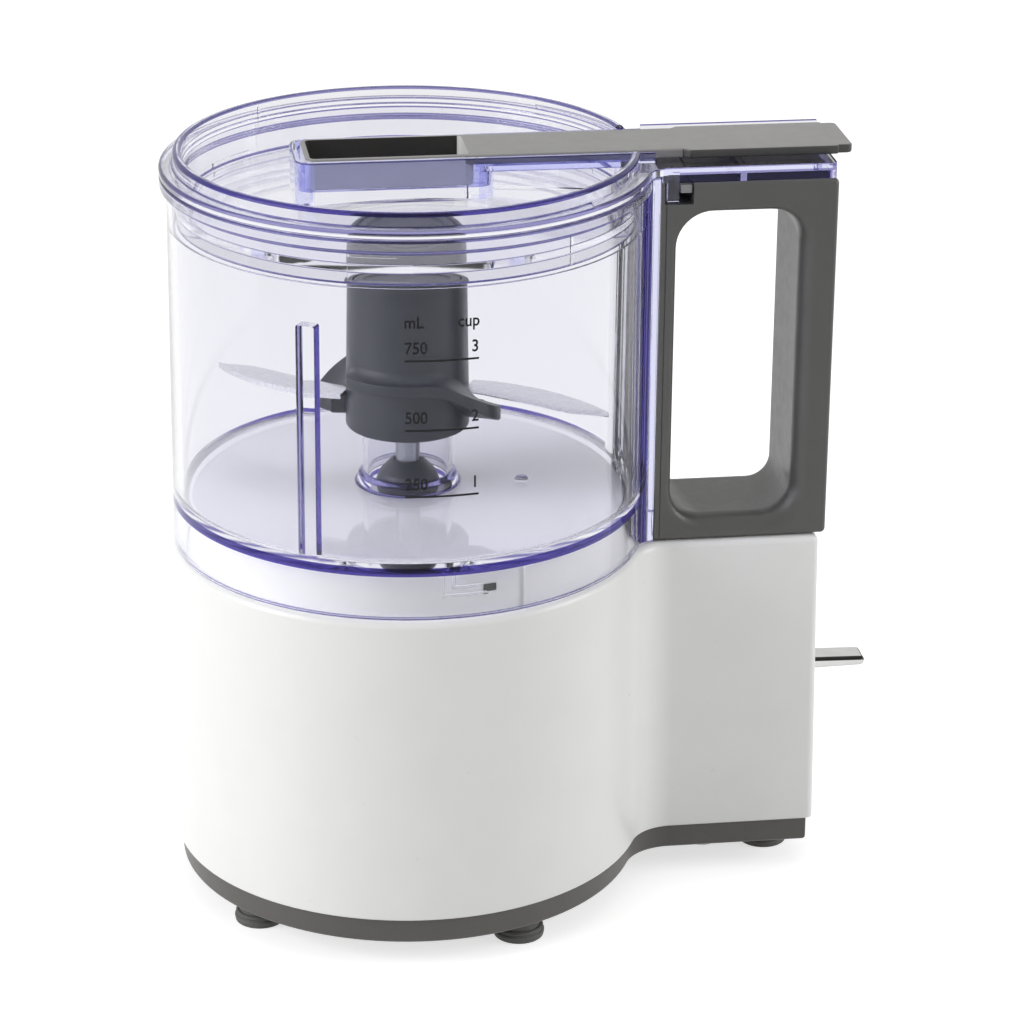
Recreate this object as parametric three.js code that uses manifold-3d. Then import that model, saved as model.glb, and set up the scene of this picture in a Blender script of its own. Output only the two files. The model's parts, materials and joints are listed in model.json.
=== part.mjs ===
// A compact food processor: a white motor base with a tail, a clear bowl with a dark handle over the tail,
// a clear recessed lid carrying a grey bar with a feed chute, and an S-shaped pair of blades on a tall hub.
// Millimetres, +Z up. Inside `product` the bowl's axis is the line x = 0, y = 0, and +X runs along the tail.
// The exported group is shifted so that its origin is the middle of the footprint, at the feet's underside.

import * as THREE from 'three';
import { mergeVertices } from 'three/addons/utils/BufferGeometryUtils.js';
import Module from 'manifold-3d';

const wasm = await Module();
wasm.setup();

// ---------------------------------------------------------------- driving dimensions

const GAP = 0.35;                 // clearance between pieces that touch or slide
const BIG = 48;                   // segments round a large circle
const MEDIUM = 28;                // segments round a hub-sized circle
const ROUND = 20;                 // segments round a foot, a bush or a boss
const FINE = 10;                  // segments round a screw or a pin
const SMALL = 16;                 // segments round a shaft or a screw

// plan that the base, the bottom plate and the lid share
const BASE_RADIUS = 69.2;
const TAIL_LENGTH = 50.4;         // from the round part's edge to the tail's end
const TAIL_END = BASE_RADIUS + TAIL_LENGTH;
const TAIL_HALF_WIDTH = 19.2;
const TAIL_FILLET = 14;
const TAIL_CORNER = 2.2;

// feet and bottom plate
const FOOT_RADIUS = 7.5;
const FOOT_PAD_HEIGHT = 3.6;
const FOOT_NECK_RADIUS = 6.0;
const FOOT_STUD_RADIUS = 3.0;
const FOOT_STUD_LENGTH = 4.2;
const FOOT_INSET = 11.8;
const FOOT_CIRCLE = BASE_RADIUS - FOOT_INSET;
const FOOT_ANGLES = { front_left: -145.5, front_right: -63, rear_left: 145.5, rear_right: 62 };
const TAIL_FOOT_INSET = 11.2;
const TAIL_FOOT_X = TAIL_END - TAIL_FOOT_INSET;
const PLATE_BOTTOM = 7.4;
const PLATE_HEIGHT = 7.6;
const PLATE_FLOOR = 2.6;
const PLATE_INSET = 1.7;
const SPIGOT_HEIGHT = 3.5;
const SPIGOT_WALL = 1.6;

// base housing
const BASE_WALL = 2.6;
const BASE_BOTTOM = PLATE_BOTTOM + PLATE_HEIGHT + GAP;
const BASE_TOP = 106.8;
const BASE_DRAFT = 0.013;         // share by which the plan shrinks from the bottom edge to the top
const TURRET_STEP = 6.0;
const TURRET_RADIUS = BASE_RADIUS - TURRET_STEP;
const TURRET_HEIGHT = 12.5;
const TURRET_TOP = BASE_TOP + TURRET_HEIGHT;

// bowl
const BOWL_SETBACK = 1.2;         // how far the bowl's foot stands inside the housing's edge
const BOWL_TAPER = 0.7;
const BOWL_RADIUS_BOTTOM = BASE_RADIUS - BOWL_SETBACK;
const BOWL_RADIUS_TOP = BOWL_RADIUS_BOTTOM - BOWL_TAPER;
const BOWL_WALL = 2.3;
const BOWL_BOTTOM = BASE_TOP + GAP;
const BOWL_FLOOR = 2.5;
const BOWL_FLOOR_CLEARANCE = 0.8;
const BOWL_FLOOR_TOP = TURRET_TOP + BOWL_FLOOR_CLEARANCE + BOWL_FLOOR;
const BOWL_HEIGHT = 108.75;
const BOWL_RIM = BOWL_BOTTOM + BOWL_HEIGHT;
const BOWL_STEP_DROP = 14;
const BOWL_STEP = BOWL_RIM - BOWL_STEP_DROP;  // height where the wall thins to take the lid's skirt
const BOWL_STEP_DEPTH = 0.8;
const LIP_HEIGHT = 3.8;
const LIP_DEPTH = 1.9;
const LIP_RADIUS = BOWL_RADIUS_TOP + LIP_DEPTH;
const CHIMNEY_RADIUS = 12.95;
const CHIMNEY_WALL = 1.4;
const CHIMNEY_HEIGHT = 53.4;
const CHIMNEY_TOP = BOWL_FLOOR_TOP + CHIMNEY_HEIGHT;
const CHIMNEY_FOOT_RADIUS = CHIMNEY_RADIUS + 1.75;
const CHIMNEY_FOOT_HEIGHT = 2.6;
const RIB_ANGLE = -121;
const RIB_WIDTH = 5.4;
const RIB_DEPTH = 4.0;
const RIB_HEIGHT = 66.9;
const RIB_TOP = BOWL_FLOOR_TOP + RIB_HEIGHT;
const BRIDGE_SETBACK = 0.25;
const BRIDGE_END = LIP_RADIUS - BRIDGE_SETBACK;  // where the bowl's clear bridge meets the handle
const BRIDGE_FILLET = 8;
const TONGUE_DEPTH = 2.6;
const TONGUE_WIDTH = 4;
const TONGUE_OFFSET = 10;
const TONGUE_BOTTOM = BOWL_BOTTOM + 5.85;

// handle
const HANDLE_START = BRIDGE_END + GAP;
const HANDLE_OVERHANG = 0.3;
const HANDLE_END = TAIL_END + HANDLE_OVERHANG;
const HANDLE_HALF_WIDTH = 18.4;
const HANDLE_DROP = 2.0;
const HANDLE_TOP = BOWL_RIM - HANDLE_DROP;
const HANDLE_EDGE = 2.6;
const HANDLE_CORNER = 2.2;
const GRIP_THICKNESS = 10.2;
const HANDLE_FOOT = 8.65;
const HANDLE_HEAD = 7.4;
const POST_THICKNESS = 4.6;
const WINDOW_START = HANDLE_START + POST_THICKNESS;
const WINDOW_END = HANDLE_END - GRIP_THICKNESS;
const WINDOW_BOTTOM = BOWL_BOTTOM + HANDLE_FOOT;
const WINDOW_TOP = HANDLE_TOP - HANDLE_HEAD;
const WINDOW_CORNER = 9.5;
const TONGUE_TOP = WINDOW_TOP - 1.5;

// interlock in the handle and the base
const ROD_OFFSET = 2.3;
const ROD_X = HANDLE_START + ROD_OFFSET;
const ROD_THICKNESS = 2.0;
const ROD_HALF_WIDTH = 3.9;
const LATCH_DEPTH = 5.9;
const LATCH_LENGTH = 6.8;
const LATCH_BOTTOM = HANDLE_TOP - LATCH_DEPTH;  // floor of the notch in the handle's top
const LATCH_END = ROD_X + LATCH_LENGTH;
const SLIDER_HEIGHT = 2.4;
const HOOK_THICKNESS = 3.2;
const HOOK_WIDTH = 2.3;
const PLUNGER_RADIUS = 2.2;
const PLUNGER_FLANGE = 4.4;
const PLUNGER_STEM = 1.5;
const PLUNGER_TRAVEL = 2.8;
const GUIDE_RADIUS = 6.8;
const GUIDE_WALL = 2.0;
const GUIDE_HEIGHT = 14.8;
const GUIDE_BOTTOM = BASE_TOP - GUIDE_HEIGHT;
const PLUNGER_SPRING_RADIUS = 3.2;
const PLUNGER_SPRING_WIRE = 0.45;

// lid
const LID_CLEARANCE = 1.2;        // round the lid's skirt, inside the bowl's thin rim
const LID_SKIRT_RADIUS = BOWL_RADIUS_TOP - BOWL_WALL + BOWL_STEP_DEPTH - LID_CLEARANCE;
const LID_WALL = 2.4;
const LID_BOTTOM = BOWL_STEP + GAP;
const LID_FLANGE_HEIGHT = 2.15;
const LID_RIM_RADIUS = LID_SKIRT_RADIUS + 0.7;
const LID_STAND = 6.5;
const LID_TOP = BOWL_RIM + LID_STAND;
const LID_FLOOR = 2.0;
const LID_FLOOR_EDGE = LID_TOP - 15.1;
const LID_FLOOR_CENTRE = LID_TOP - 10.7;
const LID_LUG_ANGLES = [-102.6, 17.4, 137.4];
const LID_LUG_HEIGHT = 4.6;
const LID_LUG_SWEEP = 15.4;       // degrees
const LID_TAIL_CLEARANCE = 0.4;
const LID_TAIL_HEIGHT = 4.4;
const LID_TAIL_BOTTOM = HANDLE_TOP + LID_TAIL_CLEARANCE;
const LID_TAIL_TOP = LID_TAIL_BOTTOM + LID_TAIL_HEIGHT;
const LID_TAIL_END = HANDLE_END - 0.7;
const LID_TAIL_WALL = 1.8;
const LID_RIB_X = HANDLE_START + 22.4;
const REAR_BEAD_END = HANDLE_END + 0.9;
const REAR_BEAD_TOP = LID_TOP - 1.2;
const REAR_BEAD_WALL = 1.1;

// chute and bar
const CHUTE_START = -27.8;
const CHUTE_END = 16.4;
const CHUTE_HALF_WIDTH = 9.5;
const LINER_WALL = 1.3;
const LINER_CORNER = 2.6;
const SLEEVE_START = CHUTE_START - 4.3;
const SLEEVE_END = CHUTE_END + 6.9;
const SLEEVE_WALL = 1.5;
const SLEEVE_CORNER = 4.6;
const LINER_SEAT = LID_TOP - 9.3;
const BAR_TOP = LID_TOP - 0.4;
const BAR_THICKNESS = 2.65;
const BAR_WIDE_START = LIP_RADIUS + 7.1;
const BAR_HALF_WIDTH_WIDE = 12.3;
const BAR_WIDE_END = LID_TAIL_END + 1.4;
const TAB_HALF_WIDTH = 11.4;
const TAB_LENGTH = 4.2;
const BAR_END = BAR_WIDE_END + TAB_LENGTH;
const TROUGH_FLOOR = 1.4;

// blade hub
const HUB_LIFT = 17.6;            // from the bowl's floor to the hub's lower edge
const HUB_BOTTOM = BOWL_FLOOR_TOP + HUB_LIFT;
const HUB_TOP = CHIMNEY_TOP + 18.6;
const HUB_RADIUS_TOP = 16.9;
const HUB_RADIUS_BOTTOM = 17.8;
const HUB_BORE = CHIMNEY_RADIUS + 0.8;
const HUB_BORE_TOP = CHIMNEY_TOP + 2;
const SOCKET_RADIUS = 6.4;
const CAP_HEIGHT = 3.2;
const CAP_RADIUS = 14.6;
const WING_ANGLE_START = 190;     // degrees round the hub
const WING_ANGLE_END = 352;
const WING_TOP = HUB_BOTTOM + 19.1;
const WING_DROP = 8.0;
const WING_HEIGHT_START = 4.2;
const WING_HEIGHT_END = 6.8;
const WING_LEDGE = 3.6;           // how far the ledge stands out before it swells
const WING_REACH = 27.5;
const WING_EDGE = 1.2;
const BLADE_HEIGHT = HUB_BOTTOM + 9.9;
const BLADE_THICKNESS = 1.5;
const BLADE_ANGLE = -27.4;        // degrees from +X to the tip of the first blade
const BLADE_CLEARANCE = 5.2;      // between the tips' circle and the bowl's wall
const BLADE_REACH = BOWL_RADIUS_TOP - BOWL_WALL - BLADE_CLEARANCE;

// drive train
const SPINDLE_RADIUS = 3.55;
const SPINDLE_TOP = CHIMNEY_TOP + 12;
const SPINDLE_FLAT = 2.6;
const SPINDLE_HEAD = 10.5;
const SPINDLE_COLLAR = 5.5;
const BUSH_RADIUS = 6.2;
const BOOT_RADIUS = 9.3;
const BOOT_HEIGHT = 10;
const BOOT_TOP = TURRET_TOP + BOOT_HEIGHT;
const GEAR_MODULE = 1.25;
const GEAR_TEETH = 36;
const PINION_TEETH = 12;
const GEAR_DROP = 14.8;
const GEAR_BOTTOM = BASE_TOP - GEAR_DROP;
const GEAR_FACE = 8;
const BACKLASH = 0.45;
const MOTOR_X = (GEAR_TEETH + PINION_TEETH) * GEAR_MODULE / 2;
const MOTOR_SHAFT_RADIUS = 3;
const MOTOR_SHAFT_BOTTOM = 15.5;
const BEARING_RADIUS = 7.0;
const BEARING_HEIGHT = 6;
const LOWER_BEARING_Z = 26.4;
const PLATE_LEVEL = GEAR_BOTTOM - 8;  // underside of the motor mounting plate
const SPINDLE_BOTTOM = PLATE_LEVEL - 4;
const PLATE_THICKNESS = 3;
const MOTOR_RADIUS = 22;
const MOTOR_CAN_WALL = 2;
const MOTOR_CAN_BOTTOM = 34;
const COMMUTATOR_RADIUS = 8;
const BRUSH_WIDTH = 4.4;
const BRUSH_LEVEL = 40;
const BRUSH_END = 15.5;
const MAGNET_THICKNESS = 3.8;
const MAGNET_SWEEP = 130;
const MAGNET_BOTTOM = 46;
const MAGNET_TOP = 77;
const ARMATURE_RADIUS = 15.2;
const ARMATURE_BOTTOM = 50;
const ARMATURE_TOP = 74;
const WINDING_RADIUS = 12;
const WINDING_STAND = 3.5;
const ARMATURE_SLOTS = 10;
const FAN_RADIUS = 21;
const FAN_BLADES = 8;
const BOSS_RADIUS = 4;
const SCREW_RADIUS = 1.6;
const SCREW_HEAD_RADIUS = 3.1;
const SCREW_HEAD_HEIGHT = 2.2;
const MOTOR_BOSS_FRONT = -20;
const MOTOR_BOSS_REAR = MOTOR_X + 20;
const MOTOR_BOSS_OFFSET = 26;
const MOTOR_PLATE_MARGIN = 6;
const PLATE_BOSS_INSET = 11;
const PLATE_BOSS_ANGLE = 131;     // degrees, of the pair under the round part
const TAIL_BOSS_INSET = 31.6;
const TAIL_BOSS_OFFSET = 9.5;

// switch
const LEVER_Z = 59.2;
const LEVER_PIVOT_X = TAIL_END - 6.2;
const LEVER_TIP_X = LEVER_PIVOT_X + 23.7;
const LEVER_TAIL_X = LEVER_PIVOT_X - 11.9;
const LEVER_HALF_WIDTH = 4.1;
const LEVER_THICKNESS = 2.3;
const LEVER_TIP_THICKNESS = 1.2;
const LEVER_TAPER = 16;
const LEVER_SLOT_HEIGHT = 6.4;
const LEVER_PIN_RADIUS = 1.2;
const LEVER_EAR_WIDTH = 2.8;
const FRAME_START = LEVER_TAIL_X - 4.5;
const FRAME_END = LEVER_TAIL_X + 8;
const FRAME_BOTTOM = LEVER_Z - 14.2;
const LEVER_SPRING_X = LEVER_TAIL_X + 3;
const LEVER_SPRING_RADIUS = 2.4;
const LEVER_SPRING_WIRE = 0.4;

// electrics
const BOARD_LENGTH = 22;
const BOARD_END = TAIL_END - TAIL_BOSS_INSET - 6;
const BOARD_START = BOARD_END - BOARD_LENGTH;
const BOARD_HALF_WIDTH = 13;
const BOARD_LEVEL = 30;
const BOARD_THICKNESS = 1.6;
const CAPACITOR_X = BOARD_START + 11;
const CAPACITOR_RADIUS = 6.2;
const CAPACITOR_HEIGHT = 19;
const GLAND_ANGLE = 118;
const GLAND_HEIGHT = 30;
const GLAND_RADIUS = 4.6;

// ---------------------------------------------------------------- derived dimensions

const TRAVEL_ROOM = 0.4;
const bowlFloorBottom = BOWL_FLOOR_TOP - BOWL_FLOOR;
const bowlInner = BOWL_RADIUS_TOP - BOWL_WALL;
const bowlRimInner = bowlInner + BOWL_STEP_DEPTH;
const lidFlangeBottom = BOWL_RIM + GAP;
const lidInner = LID_SKIRT_RADIUS - LID_WALL;
const linerHalfWidth = CHUTE_HALF_WIDTH + LINER_WALL;
const sleeveInnerHalfWidth = linerHalfWidth + 0.5;
const sleeveHalfWidth = sleeveInnerHalfWidth + SLEEVE_WALL;
const linerStart = CHUTE_START - LINER_WALL;
const linerEnd = CHUTE_END + LINER_WALL;
const barBottom = BAR_TOP - BAR_THICKNESS;
const troughTop = barBottom - GAP;
const sleeveTop = BAR_TOP - 0.4;
const housingTailEnd = TAIL_END - BASE_WALL;
const plateFloorTop = PLATE_BOTTOM + PLATE_FLOOR;
const magnetOuter = MOTOR_RADIUS - MOTOR_CAN_WALL - 1.5 * GAP;
const brushRoom = BRUSH_WIDTH / 2 + GAP;
const gearTop = GEAR_BOTTOM + GEAR_FACE;
const baseTailScale = heightScale(LEVER_Z);
const motorBosses = [
  [MOTOR_BOSS_FRONT, -MOTOR_BOSS_OFFSET], [MOTOR_BOSS_FRONT, MOTOR_BOSS_OFFSET],
  [MOTOR_BOSS_REAR, -MOTOR_BOSS_OFFSET], [MOTOR_BOSS_REAR, MOTOR_BOSS_OFFSET],
];
const plateBossCircle = BASE_RADIUS - PLATE_BOSS_INSET;
const plateBossX = plateBossCircle * Math.cos(radians(PLATE_BOSS_ANGLE));
const plateBossY = plateBossCircle * Math.sin(radians(PLATE_BOSS_ANGLE));
const tailBossX = TAIL_END - TAIL_BOSS_INSET;
const plateBosses = [
  [plateBossX, -plateBossY], [plateBossX, plateBossY],
  [tailBossX, -TAIL_BOSS_OFFSET], [tailBossX, TAIL_BOSS_OFFSET],
];

// ---------------------------------------------------------------- materials

const finishes = {
  white: { color: '#eeeeec', roughness: 0.3, metalness: 0 },
  grey: { color: '#9a9996', roughness: 0.45, metalness: 0 },
  dark: { color: '#5b5b57', roughness: 0.45, metalness: 0 },
  hub: { color: '#4b4e54', roughness: 0.35, metalness: 0 },
  clear: { color: '#dfe2f2', roughness: 0.05, metalness: 0, transparent: true, opacity: 0.35 },
  rubber: { color: '#3a3a3c', roughness: 0.8, metalness: 0 },
  chrome: { color: '#c8c8c8', roughness: 0.15, metalness: 1 },
  steel: { color: '#a9abad', roughness: 0.3, metalness: 1 },
  brass: { color: '#b08d4a', roughness: 0.35, metalness: 1 },
  copper: { color: '#a8603a', roughness: 0.4, metalness: 1 },
  magnet: { color: '#3b3b3f', roughness: 0.6, metalness: 0.2 },
  nylon: { color: '#e6e2d6', roughness: 0.5, metalness: 0 },
  board: { color: '#2f6b43', roughness: 0.6, metalness: 0 },
};

const materials = {};
for (const [name, finish] of Object.entries(finishes)) {
  materials[name] = new THREE.MeshStandardMaterial(finish);
}

// ---------------------------------------------------------------- solids

function radians(degrees) {
  return degrees * Math.PI / 180;
}

/** The share by which the housing's plan is scaled at a height, from its moulding draft. */
function heightScale(z) {
  return 1 - BASE_DRAFT * (z - BASE_BOTTOM) / (BASE_TOP - BASE_BOTTOM);
}

/** Turns a closed three.js geometry into a manifold solid with its faces pointing out. */
function solid(geometry) {
  const bare = geometry.clone();
  bare.deleteAttribute('normal');
  bare.deleteAttribute('uv');
  const merged = mergeVertices(bare, 1e-4);
  const positions = merged.attributes.position.array;
  const index = merged.index.array;
  const triangles = [];
  let volume = 0;
  for (let i = 0; i < index.length; i += 3) {
    const [a, b, c] = [index[i], index[i + 1], index[i + 2]];
    if (a === b || b === c || c === a) continue;
    triangles.push(a, b, c);
    volume += tripleProduct(positions, a, b, c);
  }
  if (volume < 0) {
    for (let i = 0; i < triangles.length; i += 3) {
      [triangles[i + 1], triangles[i + 2]] = [triangles[i + 2], triangles[i + 1]];
    }
  }
  return new wasm.Manifold(new wasm.Mesh({
    numProp: 3,
    vertProperties: new Float32Array(positions),
    triVerts: new Uint32Array(triangles),
  }));
}

function tripleProduct(p, a, b, c) {
  const u = new THREE.Vector3(p[3 * a], p[3 * a + 1], p[3 * a + 2]);
  const v = new THREE.Vector3(p[3 * b], p[3 * b + 1], p[3 * b + 2]);
  const w = new THREE.Vector3(p[3 * c], p[3 * c + 1], p[3 * c + 2]);
  return u.dot(v.cross(w));
}

function join(first, ...others) {
  return others.reduce((sum, next) => sum.add(next), first);
}

function cut(first, ...others) {
  return others.reduce((rest, next) => rest.subtract(next), first);
}

/** Gives a manifold solid back as a three.js geometry. */
function geometryOf(body) {
  const mesh = body.getMesh();
  const geometry = new THREE.BufferGeometry();
  geometry.setAttribute('position', new THREE.BufferAttribute(mesh.vertProperties, mesh.numProp));
  geometry.setIndex(new THREE.BufferAttribute(mesh.triVerts, 1));
  return geometry;
}

function box(x0, x1, y0, y1, z0, z1) {
  const geometry = new THREE.BoxGeometry(x1 - x0, y1 - y0, z1 - z0);
  geometry.translate((x0 + x1) / 2, (y0 + y1) / 2, (z0 + z1) / 2);
  return solid(geometry);
}

/** An upright cylinder or cone about the line x, y. */
function cylinder(radius, z0, z1, { x = 0, y = 0, segments = SMALL, topRadius = radius } = {}) {
  const geometry = new THREE.CylinderGeometry(topRadius, radius, z1 - z0, segments);
  geometry.rotateX(Math.PI / 2);
  geometry.translate(x, y, (z0 + z1) / 2);
  return solid(geometry);
}

/** An upright post at x, y: a boss, or the drill that bores it. */
function post(radius, z0, z1, x, y, segments) {
  return cylinder(radius, z0, z1, { x, y, segments });
}

/** A cylinder lying along Y, centred on y = 0. */
function crossPin(radius, halfLength, x, z, segments = SMALL) {
  const geometry = new THREE.CylinderGeometry(radius, radius, 2 * halfLength, segments);
  geometry.translate(x, 0, z);
  return solid(geometry);
}

/** A solid of revolution from [radius, height] points, from axis to axis or closed on themselves. */
function turned(profile, { x = 0, y = 0, segments = SMALL } = {}) {
  const first = profile[0];
  const last = profile[profile.length - 1];
  const points = profile.map(([r, z]) => new THREE.Vector2(r, z));
  if (first[0] !== 0 || last[0] !== 0) points.push(new THREE.Vector2(...first));
  const geometry = new THREE.LatheGeometry(points, segments);
  geometry.rotateX(Math.PI / 2);
  geometry.translate(x, y, 0);
  return solid(geometry);
}

/** A tube: a turned rectangle with a bore. */
function tube(outer, inner, z0, z1, options) {
  return turned([[inner, z0], [outer, z0], [outer, z1], [inner, z1]], options);
}

/** An upright prism over a plan given as [x, y] points. */
function prism(plan, z0, z1) {
  const shape = new THREE.Shape(plan.map(([x, y]) => new THREE.Vector2(x, y)));
  const geometry = new THREE.ExtrudeGeometry(shape, { depth: z1 - z0, bevelEnabled: false });
  geometry.translate(0, 0, z0);
  return solid(geometry);
}

/** A prism lying along Y over a side view given as [x, z] points. */
function sidePrism(side, y0, y1) {
  const shape = new THREE.Shape(side.map(([x, z]) => new THREE.Vector2(x, z)));
  const geometry = new THREE.ExtrudeGeometry(shape, { depth: y1 - y0, bevelEnabled: false });
  geometry.rotateX(Math.PI / 2);
  geometry.translate(0, y1, 0);
  return solid(geometry);
}

/** A closed solid lofted through rings of equally many [x, y, z] points, with flat ends. */
function loft(rings) {
  const size = rings[0].length;
  const index = [];
  for (let ring = 0; ring < rings.length - 1; ring += 1) {
    for (let i = 0; i < size; i += 1) {
      const a = ring * size + i;
      const b = ring * size + (i + 1) % size;
      index.push(a, b, a + size, b, b + size, a + size);
    }
  }
  const lastStart = (rings.length - 1) * size;
  for (let i = 1; i < size - 1; i += 1) {
    index.push(0, i + 1, i);
    index.push(lastStart, lastStart + i, lastStart + i + 1);
  }
  const geometry = new THREE.BufferGeometry();
  geometry.setAttribute('position', new THREE.Float32BufferAttribute(rings.flat(2), 3));
  geometry.setIndex(index);
  return solid(geometry);
}

function turnAbout(body, degrees, x = 0, y = 0) {
  return body.translate([-x, -y, 0]).rotate([0, 0, degrees]).translate([x, y, 0]);
}

/** Points on an arc, both ends included. */
function arc(x, y, radius, from, to, steps) {
  const points = [];
  for (let i = 0; i <= steps; i += 1) {
    const angle = from + (to - from) * i / steps;
    points.push([x + radius * Math.cos(angle), y + radius * Math.sin(angle)]);
  }
  return points;
}

/** The keyhole plan that base, plate and lid share: a disc with a straight tail, inside corners filleted. */
function keyhole({ radius, end, halfWidth, fillet, corner }, inset = 0) {
  const r = radius - inset;
  const w = halfWidth - inset;
  const f = fillet + inset;
  const c = Math.max(corner - inset, 0.4);
  const x1 = end - inset;
  const filletX = Math.sqrt((r + f) ** 2 - (w + f) ** 2);
  const touch = Math.atan2(w + f, filletX);
  return [
    ...arc(filletX, -(w + f), f, Math.PI - touch, Math.PI / 2, 6),
    ...arc(x1 - c, -w + c, c, -Math.PI / 2, 0, 3),
    ...arc(x1 - c, w - c, c, 0, Math.PI / 2, 3),
    ...arc(filletX, w + f, f, -Math.PI / 2, touch - Math.PI, 6),
    ...arc(0, 0, r, touch, 2 * Math.PI - touch, BIG - 8).slice(1, -1),
  ];
}

/** A rectangle centred on y = 0 with rounded corners. */
function roundedPlan(x0, x1, half, corner) {
  const quarter = Math.PI / 2;
  return [
    ...arc(x1 - corner, -half + corner, corner, -quarter, 0, 4),
    ...arc(x1 - corner, half - corner, corner, 0, quarter, 4),
    ...arc(x0 + corner, half - corner, corner, quarter, 2 * quarter, 4),
    ...arc(x0 + corner, -half + corner, corner, 2 * quarter, 3 * quarter, 4),
  ];
}

/** Applies the housing's moulding draft: the plan shrinks towards the top. */
function drafted(body) {
  return body.warp((point) => {
    const scale = heightScale(point[2]);
    point[0] *= scale;
    point[1] *= scale;
  });
}

/** A round-wire compression spring standing on x, y between two heights. */
function spring(radius, wire, z0, z1, turns, x, y) {
  const low = z0 + wire;
  const high = z1 - wire;
  class Helix extends THREE.Curve {
    getPoint(t, target = new THREE.Vector3()) {
      const angle = 2 * Math.PI * turns * t;
      return target.set(x + radius * Math.cos(angle), y + radius * Math.sin(angle), low + (high - low) * t);
    }
  }
  const ring = arc(0, 0, wire, 0, 2 * Math.PI, 6).slice(0, -1);
  const section = new THREE.Shape(ring.map(([u, v]) => new THREE.Vector2(u, v)));
  const options = { steps: turns * 10, bevelEnabled: false, extrudePath: new Helix() };
  return solid(new THREE.ExtrudeGeometry(section, options));
}

/** A spur gear's plan: straight-flanked teeth, the first one centred on +X when `toothFirst` is true. */
function gearPlan(teeth, toothFirst) {
  const pitchRadius = teeth * GEAR_MODULE / 2;
  const tip = pitchRadius + 0.9 * GEAR_MODULE;
  const root = pitchRadius - 1.25 * GEAR_MODULE;
  const half = Math.PI / (2 * teeth) - BACKLASH / (2 * pitchRadius);
  const points = [];
  for (let tooth = 0; tooth < teeth; tooth += 1) {
    const middle = 2 * Math.PI * (tooth + (toothFirst ? 0 : 0.5)) / teeth;
    const rootHalf = Math.min(half * 1.75, Math.PI / teeth * 0.92);
    const tipHalf = half * 0.42;
    for (const [radius, offset] of [[root, -rootHalf], [tip, -tipHalf], [tip, tipHalf], [root, rootHalf]]) {
      points.push([radius * Math.cos(middle + offset), radius * Math.sin(middle + offset)]);
    }
  }
  return points;
}

// ---------------------------------------------------------------- the assembly

const product = new THREE.Group();

function add(name, body, finish) {
  const mesh = new THREE.Mesh(geometryOf(body), materials[finish]);
  mesh.name = name;
  product.add(mesh);
}

const basePlan = {
  radius: BASE_RADIUS, end: TAIL_END, halfWidth: TAIL_HALF_WIDTH, fillet: TAIL_FILLET, corner: TAIL_CORNER,
};

// ---- feet

function foot(x, y) {
  return turned([
    [0, 0], [FOOT_RADIUS - 0.6, 0], [FOOT_RADIUS, 0.6], [FOOT_RADIUS, FOOT_PAD_HEIGHT - 0.8],
    [FOOT_RADIUS - 0.6, FOOT_PAD_HEIGHT], [FOOT_NECK_RADIUS, FOOT_PAD_HEIGHT],
    [FOOT_NECK_RADIUS, PLATE_BOTTOM - GAP], [FOOT_STUD_RADIUS, PLATE_BOTTOM - GAP],
    [FOOT_STUD_RADIUS, PLATE_BOTTOM + FOOT_STUD_LENGTH], [0, PLATE_BOTTOM + FOOT_STUD_LENGTH],
  ], { x, y, segments: ROUND });
}

const footPlaces = Object.entries(FOOT_ANGLES).map(([name, degrees]) => [
  name, FOOT_CIRCLE * Math.cos(radians(degrees)), FOOT_CIRCLE * Math.sin(radians(degrees)),
]);
footPlaces.push(['tail', TAIL_FOOT_X, 0]);

for (const [name, x, y] of footPlaces) {
  add(`foot_${name}`, foot(x, y), 'rubber');
}

// ---- bottom plate

function bottomPlate() {
  const top = PLATE_BOTTOM + PLATE_HEIGHT;
  const spigotTop = top + SPIGOT_HEIGHT;
  const spigotInset = BASE_WALL + GAP + 0.4;
  const tray = cut(
    prism(keyhole(basePlan, PLATE_INSET), PLATE_BOTTOM, top),
    prism(keyhole(basePlan, spigotInset + SPIGOT_WALL), plateFloorTop, top + 1),
  );
  const spigot = cut(
    prism(keyhole(basePlan, spigotInset), top - 1, spigotTop),
    prism(keyhole(basePlan, spigotInset + SPIGOT_WALL), top - 2, spigotTop + 1),
  );
  let plate = join(tray, spigot);
  for (const x of [BOARD_START + 4, BOARD_END - 4]) {
    plate = plate.add(cylinder(2.5, plateFloorTop - 0.5, BOARD_LEVEL - GAP, { x }));
  }
  for (const [, x, y] of footPlaces) {
    plate = plate.subtract(post(FOOT_STUD_RADIUS + GAP, PLATE_BOTTOM - 1, plateFloorTop + 1, x, y, ROUND));
  }
  for (const [x, y] of plateBosses) {
    plate = plate.subtract(post(SCREW_RADIUS + GAP, PLATE_BOTTOM - 1, plateFloorTop + 1, x, y, FINE));
  }
  for (let slot = -3; slot <= 3; slot += 1) {
    const x = MOTOR_X + slot * 6;
    const half = 16 - Math.abs(slot) * 2.5;
    plate = plate.subtract(box(x - 1.5, x + 1.5, -half, half, PLATE_BOTTOM - 1, plateFloorTop + 1));
  }
  return plate;
}

add('bottom_plate', bottomPlate(), 'dark');

function screw(x, y, headBottom, length) {
  const shoulder = headBottom + SCREW_HEAD_HEIGHT;
  const end = headBottom + length;
  return turned([
    [0, headBottom], [SCREW_HEAD_RADIUS, headBottom], [SCREW_HEAD_RADIUS, shoulder],
    [SCREW_RADIUS, shoulder], [SCREW_RADIUS, end], [0, end],
  ], { x, y, segments: FINE });
}

// ---- base housing

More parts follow.
